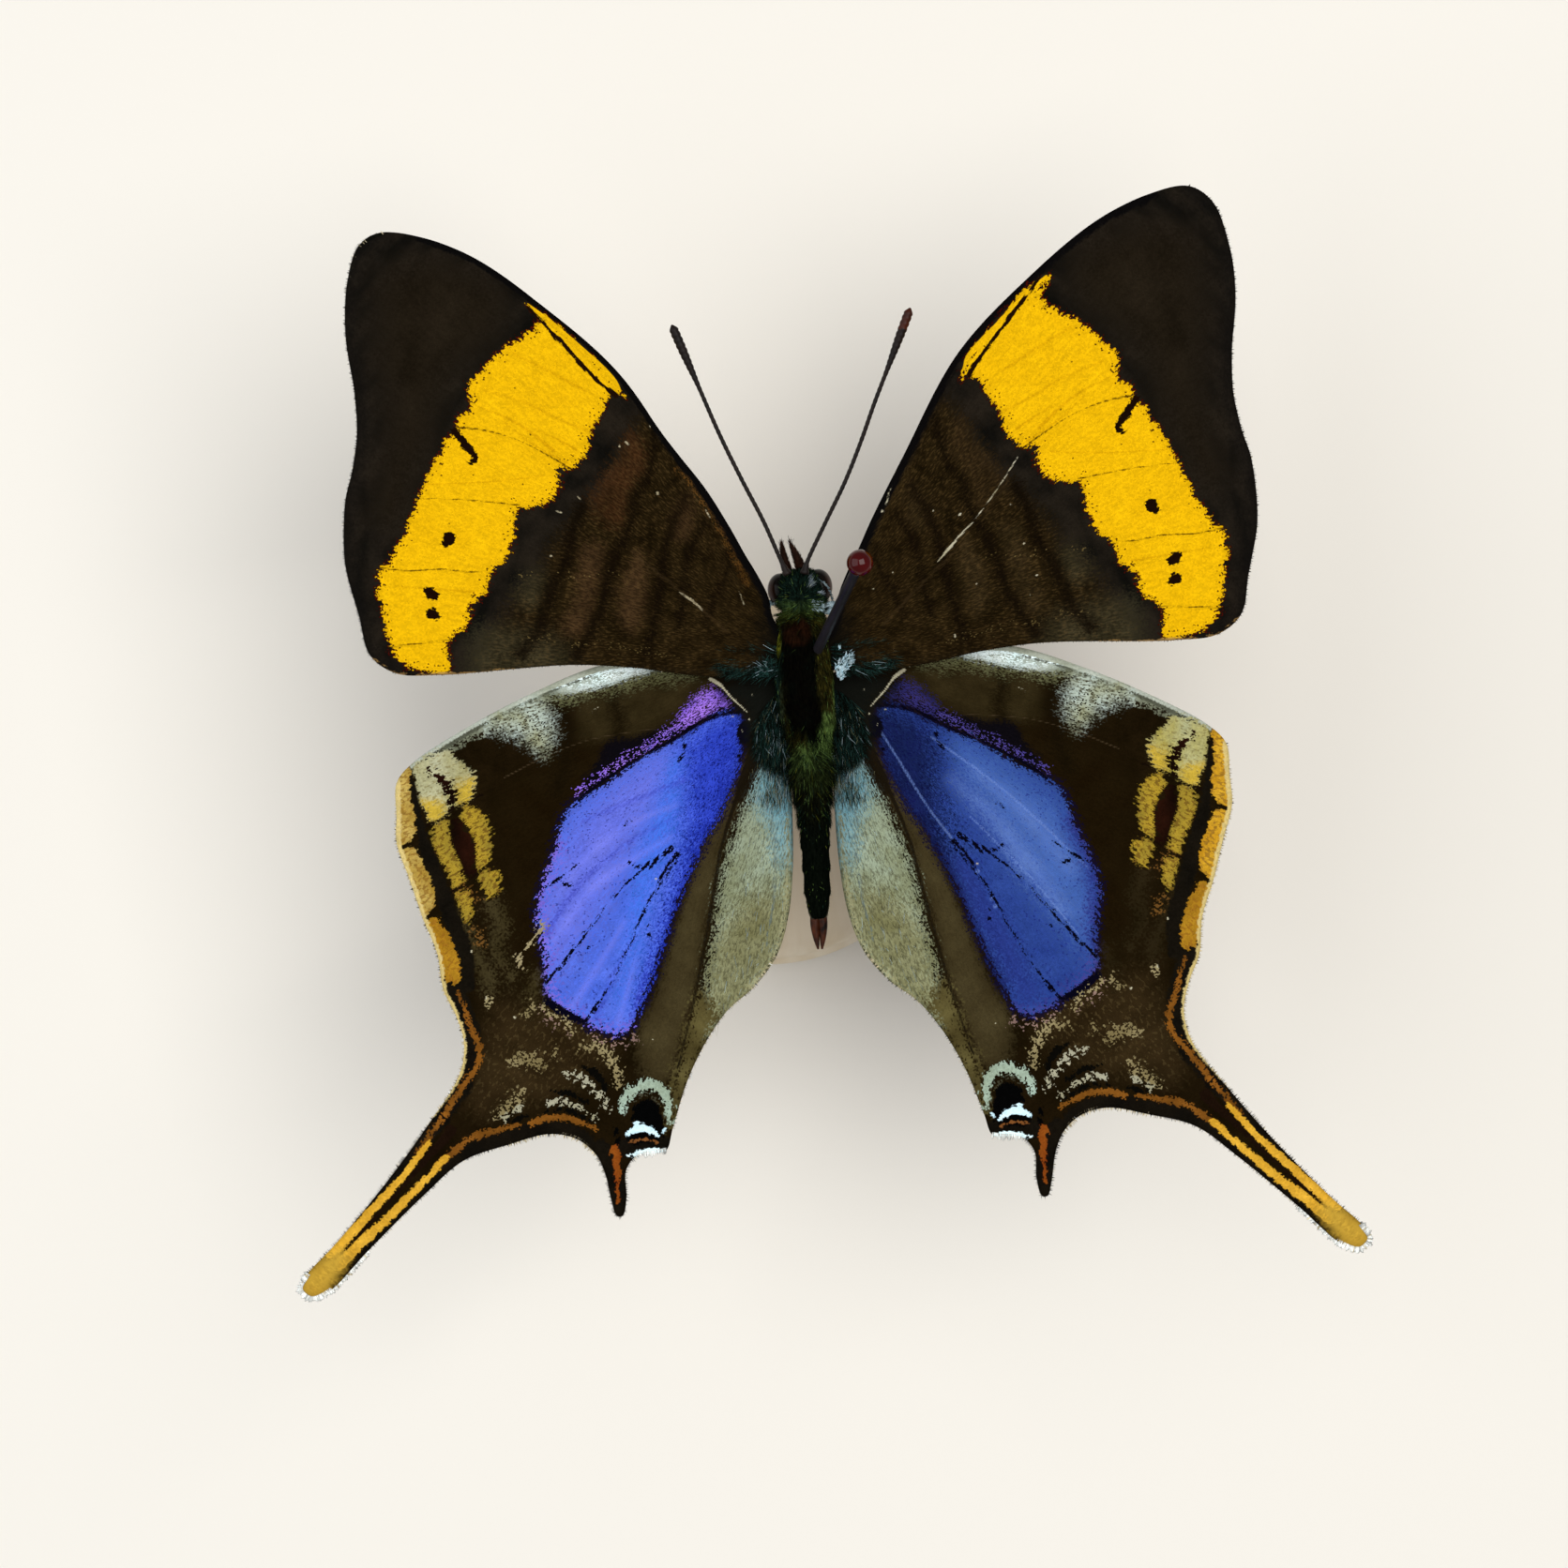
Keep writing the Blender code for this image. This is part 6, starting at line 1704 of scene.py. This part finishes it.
def rod(name, line, radii, sides=4):
    """A closed tapering rod along points from the thorax reference, in millimetres."""
    deselect()
    bpy.ops.curve.primitive_nurbs_path_add()
    obj = bpy.context.object
    curve = obj.data
    curve.splines.clear()
    spline = curve.splines.new("POLY")
    spline.points.add(len(line) - 1)
    for point, place, radius in zip(spline.points, line, radii):
        point.co = (*in_place(*place), 1)
        point.radius = radius
    curve.bevel_depth = MM
    curve.bevel_resolution = sides
    curve.use_fill_caps = True
    bpy.ops.object.convert(target="MESH")
    obj = bpy.context.object
    obj.name = obj.data.name = name
    edit_all()
    bpy.ops.mesh.remove_doubles(threshold=0.0005 * MM)
    close_edit()
    return obj


# %% Feelers
ANTENNAE = {
    "left": [(-0.8, 3.85), (-1.08, 4.5), (-1.93, 6.66), (-2.98, 8.9), (-4, 11.2), (-5.05, 13.9),
        (-6.25, 17)],
    "right": [(0.08, 3.85), (0.26, 4.45), (1.28, 6.4), (2.45, 8.55), (3.34, 10.5), (4.2, 12.6), (4.95, 14.3),
        (6.25, 17.3)]}
FEELER_RADIUS = 0.115
CLUB_RADIUS = 0.25
FEELER_HEIGHTS = (26.3, 29.2)
JOINT_STEP = 0.1
JOINTS_EACH = 3

feeler_material = glossy("antenna", (11, 7, 6), (24, 14, 10), 0.5, 1.2, specular=0.15)
tip_material = glossy("antenna_tip", (66, 24, 8), (30, 12, 6), 0.42, 1.2, specular=0.15)
for side, path in ANTENNAE.items():
    flat = curve_through(path, JOINT_STEP)
    share = np.linspace(0, 1, len(flat))
    rise = FEELER_HEIGHTS[0] + (FEELER_HEIGHTS[1] - FEELER_HEIGHTS[0]) * share ** 1.1
    club = np.clip((share - 0.74) / 0.2, 0, 1)
    radii = FEELER_RADIUS + (CLUB_RADIUS - FEELER_RADIUS) * np.sin(club * math.pi / 2) ** 1.5
    radii *= np.where(np.arange(len(flat)) % JOINTS_EACH == 0, 0.86, 1.0)
    radii *= np.sqrt(np.clip((1.0 - share) / 0.02, 0.03, 1))
    radii[:7] *= (2.2, 2.1, 1.9, 1.7, 1.5, 1.3, 1.15)
    feeler = rod(f"feeler_{side}", np.column_stack([flat, rise]), radii, 5)
    dressed(feeler, f"antenna_{side}", feeler_material)
    if side == "right":
        feeler.data.materials.append(tip_material)
        ahead = np.array([p.center[1] for p in feeler.data.polygons]) / MM - ROOT_Y
        feeler.data.polygons.foreach_set("material_index", (ahead > path[-1][1] - 1.1).astype(int))
print("feeler points", len(flat))

# %% [markdown]
# The two palps stick out in front of the face like a pair of short horns, dark brown and shaggy.
# The tongue lies coiled below them, and the legs are folded under the thorax.

# %% Palps and tongue
PALP = [(0.36, 1.9, -0.25, 0.3), (0.38, 2.4, -0.1, 0.33), (0.36, 2.8, 0.0, 0.3), (0.31, 3.3, 0.12, 0.22),
        (0.26, 3.7, 0.24, 0.13), (0.23, 3.95, 0.3, 0.04)]
COIL_TURNS = 2.6
COIL_REACH = (0.3, 0.86)

palp_material = glossy("palp", (20, 9, 5), (44, 22, 12), 0.66, 2.5, specular=0.05)
for side, sign in SIDES:
    stations = curve_through([(x, y, z, r) for x, y, z, r in PALP], 0.12)
    line = [in_head(sign * x - 0.08 - 0.2 * (y - 1.9), y - 0.1, z) for x, y, z, _ in stations]
    palp = rod(f"palp_core_{side}", line, stations[:, 3] * 0.75, 6)
    dressed(palp, f"palp_{side}", palp_material)
share = np.linspace(0, 1, 120)
angle = math.radians(100) - 2 * math.pi * COIL_TURNS * share
reach = COIL_REACH[1] - (COIL_REACH[1] - COIL_REACH[0]) * share
line = [in_head(0.0, 2.15 + r * math.cos(a), -2.2 + r * math.sin(a)) for r, a in zip(reach, angle)]
tongue = rod("tongue", line, 0.1 - 0.05 * share, 5)
dressed(tongue, "proboscis", glossy("proboscis", (70, 38, 18), (104, 62, 30), 0.35, 2.0))
print("tongue points", len(line))

# %% Claspers and the hair of the palps
CLASPER = [(0.18, -14.3, -0.84, 0.27), (0.21, -14.8, -0.86, 0.26), (0.2, -15.3, -0.88, 0.21),
           (0.15, -15.8, -0.88, 0.14), (0.1, -16.2, -0.84, 0.05)]
valve_material = glossy("claspers", (8, 4, 3), (64, 30, 13), 0.4, 2.4, specular=0.08)
valves = []
for side, sign in SIDES:
    stations = curve_through(CLASPER, 0.1)
    line = [(sign * x, y, BODY_Z + z) for x, y, z, _ in stations]
    valves.append(rod(f"clasper_{side}", line, stations[:, 3], 6))
deselect()
for valve in valves:
    valve.select_set(True)
bpy.context.view_layer.objects.active = valves[0]
bpy.ops.object.join()
valves[0].name = valves[0].data.name = "clasper_valves"
dressed(valves[0], "claspers", valve_material)

for side, sign in SIDES:
    core = bpy.data.objects[f"palp_core_{side}"]
    at, normals = scatter(core, 420, lambda at: np.ones(len(at)))
    shag = tufts(f"palp_hair_{side}", at, normals, np.tile((-0.15, 1.0, 0.2), (len(at), 1)), 0.3, 0.018, 0.3,
                 round_unwrap(at), palp_material, {})
print("claspers and palp hair")

# %% Legs
LEGS = {
    "foreleg": [(0.55, 0.75, 22.95, 0.2), (0.95, 1.6, 22, 0.17), (0.8, 0.4, 21.2, 0.13),
        (0.7, 1.7, 20.6, 0.08)],
    "midleg": [(1, -0.9, 22.9, 0.28), (2.5, 0.9, 21, 0.22), (1.8, -2.3, 19.6, 0.15), (1.6, 0.3, 18.7, 0.09)],
    "hindleg": [(0.95, -3.3, 22.9, 0.28), (2.1, -6.2, 21.4, 0.22), (2.4, -3.6, 20.1, 0.15),
        (1.7, -7.2, 19.3, 0.09)]}
FOOT_JOINTS = 5

leg_material = glossy("legs", (52, 44, 34), (96, 84, 66), 0.6, 1.5)
for limb, joints in LEGS.items():
    for side, sign in SIDES:
        line, radii = [], []
        for part, (a, b) in enumerate(zip(joints, joints[1:])):
            a, b = np.array(a), np.array(b)
            for t in np.linspace(0.0, 1.0, 16)[:-1]:
                x, y, z, r = a + (b - a) * t
                joint = 1 - 0.4 * max(0.0, 1 - min(t, 1 - t) / 0.06)
                if part == 2:
                    joint *= 1 - 0.3 * (round(t * 15) % (15 // FOOT_JOINTS) == 0)
                else:
                    joint *= 1 + 0.25 * math.sin(math.pi * t)
                line.append((sign * x, y, z))
                radii.append(r * joint)
        x, y, z, r = joints[-1]
        line.append((sign * x, y, z))
        radii.append(r * 0.3)
        dressed(rod(f"{limb}_rod_{side}", line, radii, 4), f"{limb}_{side}", leg_material)
print("legs", 2 * len(LEGS))

# %% [markdown]
# The pin is black enamelled steel with a sharp point and a small dark-red glass bead. It leans,
# goes through the thorax and stands in the base, a turned disc of pale wood with eased edges.

# %% Pin, bead and base
PIN_TOP = np.array([0.72, 0.0, 27.3])
PIN_LEAN = np.array([2.1, 3.7, 8.5]) / np.linalg.norm([2.1, 3.7, 8.5])
PIN_RADIUS = 0.27
bead_at = PIN_TOP + PIN_LEAN * 9.5
pin_point = bead_at - PIN_LEAN * 38.0

line = [pin_point, pin_point + PIN_LEAN * 0.5, pin_point + PIN_LEAN * 1.8]
line += [pin_point + PIN_LEAN * d for d in (12, 24, 36.9, 37.2, 37.45)]
pin = rod("pin_rod", line, [0.02, 0.1, *[PIN_RADIUS] * 4, PIN_RADIUS * 1.35, 0.3], 8)
enamel = glossy("pin_enamel", (27, 25, 28), (38, 35, 39), 0.35, 0.6, specular=0.16)
dressed(pin, "pin_shaft", enamel)
deselect()
bpy.ops.mesh.primitive_uv_sphere_add(segments=40, ring_count=24, radius=0.67 * MM)
bead = bpy.context.object
bead.name = bead.data.name = "pin_bead"
set_points(bead.data, points_of(bead.data) + in_place(*bead_at))
dressed(bead, "pin_head", glossy("pin_bead", (74, 4, 4), (36, 1, 2), 0.09, 0.4, specular=0.22))

BASE_CENTRE = (-2.5, -7.0)
BASE_PROFILE = [(10.2, 0.0), (10.8, 0.25), (11.0, 0.7), (11.0, 3.3), (10.75, 3.55), (10.6, 3.75), (10.6, 4.2),
                (10.4, 4.6), (9.9, 4.9), (9.2, 5.0)]
deselect()
bpy.ops.mesh.primitive_circle_add(vertices=128, radius=BASE_PROFILE[0][0] * MM, fill_type="NGON")
base = bpy.context.object
base.name = base.data.name = "turned_base"
edit_all()
for (r0, z0), (r1, z1) in zip(BASE_PROFILE, BASE_PROFILE[1:]):
    bpy.ops.mesh.extrude_region_move(TRANSFORM_OT_translate={"value": (0, 0, (z1 - z0) * MM)})
    bpy.ops.transform.resize(value=(r1 / r0, r1 / r0, 1), center_override=(0, 0, z1 * MM))
for inset in (2.0, 3.0):
    bpy.ops.mesh.inset(thickness=inset * MM)
close_edit()
set_points(base.data, points_of(base.data) + in_place(*BASE_CENTRE, 0))
wood, tree, shader = principled("pale_wood", 0.5, 0.35)
rings = noise(tree, stretched(tree, object_place(tree), (700, 90, 700)), 1.0, 4.0)
wire(tree, mix(tree, rings, tone(228, 216, 194), tone(212, 194, 164)), shader.inputs["Base Color"])
dressed(base, "stand_base", wood)
bpy.ops.object.shade_smooth_by_angle(angle=math.radians(35))
print("pin point at", pin_point.round(2))

# %% [markdown]
# The room: a pale floor that the base stands on, a large soft light from the upper right and
# a weaker one from the left, and a camera that looks straight down, as the photograph does.

# %% Floor, light and camera
FRAME_PIXELS = 1672
PIXEL_MM = 0.05
ROLL = math.radians(2.71)     # the body's axis leans this much in the picture
LOOK_AT = (-1.52, -7.24)      # the middle of the picture, from the thorax reference
DISTANCE = 180.0
SENSOR = 36.0

deselect()
bpy.ops.mesh.primitive_plane_add(size=1.2, location=(0, 0, 0))
floor = bpy.context.object
floor.name = "floor"
floor_material, tree, shader = principled("pale_floor", 0.9, 0.2)
shader.inputs["Base Color"].default_value = tone(226, 222, 214)
floor.data.materials.append(floor_material)

world = bpy.data.worlds.new("room")
bpy.context.scene.world = world
world.use_nodes = True
world.node_tree.nodes["Background"].inputs["Color"].default_value = (0.93, 0.96, 1.0, 1.0)
world.node_tree.nodes["Background"].inputs["Strength"].default_value = 0.3


def soft_light(name, place, size, power, colour):
    """An area light at a place in metres that faces the butterfly."""
    lamp = bpy.data.lights.new(name, "AREA")
    lamp.size = size
    lamp.energy = power
    lamp.color = colour
    obj = bpy.data.objects.new(name, lamp)
    bpy.context.scene.collection.objects.link(obj)
    obj.location = place
    away = np.array(place) - np.array((0, 0, WING_Z * MM))
    tilt = math.acos(away[2] / np.linalg.norm(away))
    obj.rotation_euler = (tilt, 0, math.atan2(away[1], away[0]) + math.pi / 2)


soft_light("key", (0.12, 0.03, 0.45), 0.36, 1.9, (1.0, 0.98, 0.95))
soft_light("fill", (-0.34, 0.02, 0.34), 0.5, 1.35, (0.94, 0.97, 1.0))

camera_data = bpy.data.cameras.new("camera")
camera_data.sensor_width = SENSOR
camera_data.lens = SENSOR * DISTANCE / (FRAME_PIXELS * PIXEL_MM)
camera_data.clip_start = 0.01
camera = bpy.data.objects.new("camera", camera_data)
bpy.context.scene.collection.objects.link(camera)
camera.location = (LOOK_AT[0] * MM, (LOOK_AT[1] + ROOT_Y) * MM, (WING_Z - 0.3 + DISTANCE) * MM)
camera.rotation_euler = (0, 0, -ROLL)
bpy.context.scene.camera = camera
bpy.context.scene.view_settings.view_transform = "Standard"
print("lens", round(camera_data.lens, 1), "mm")
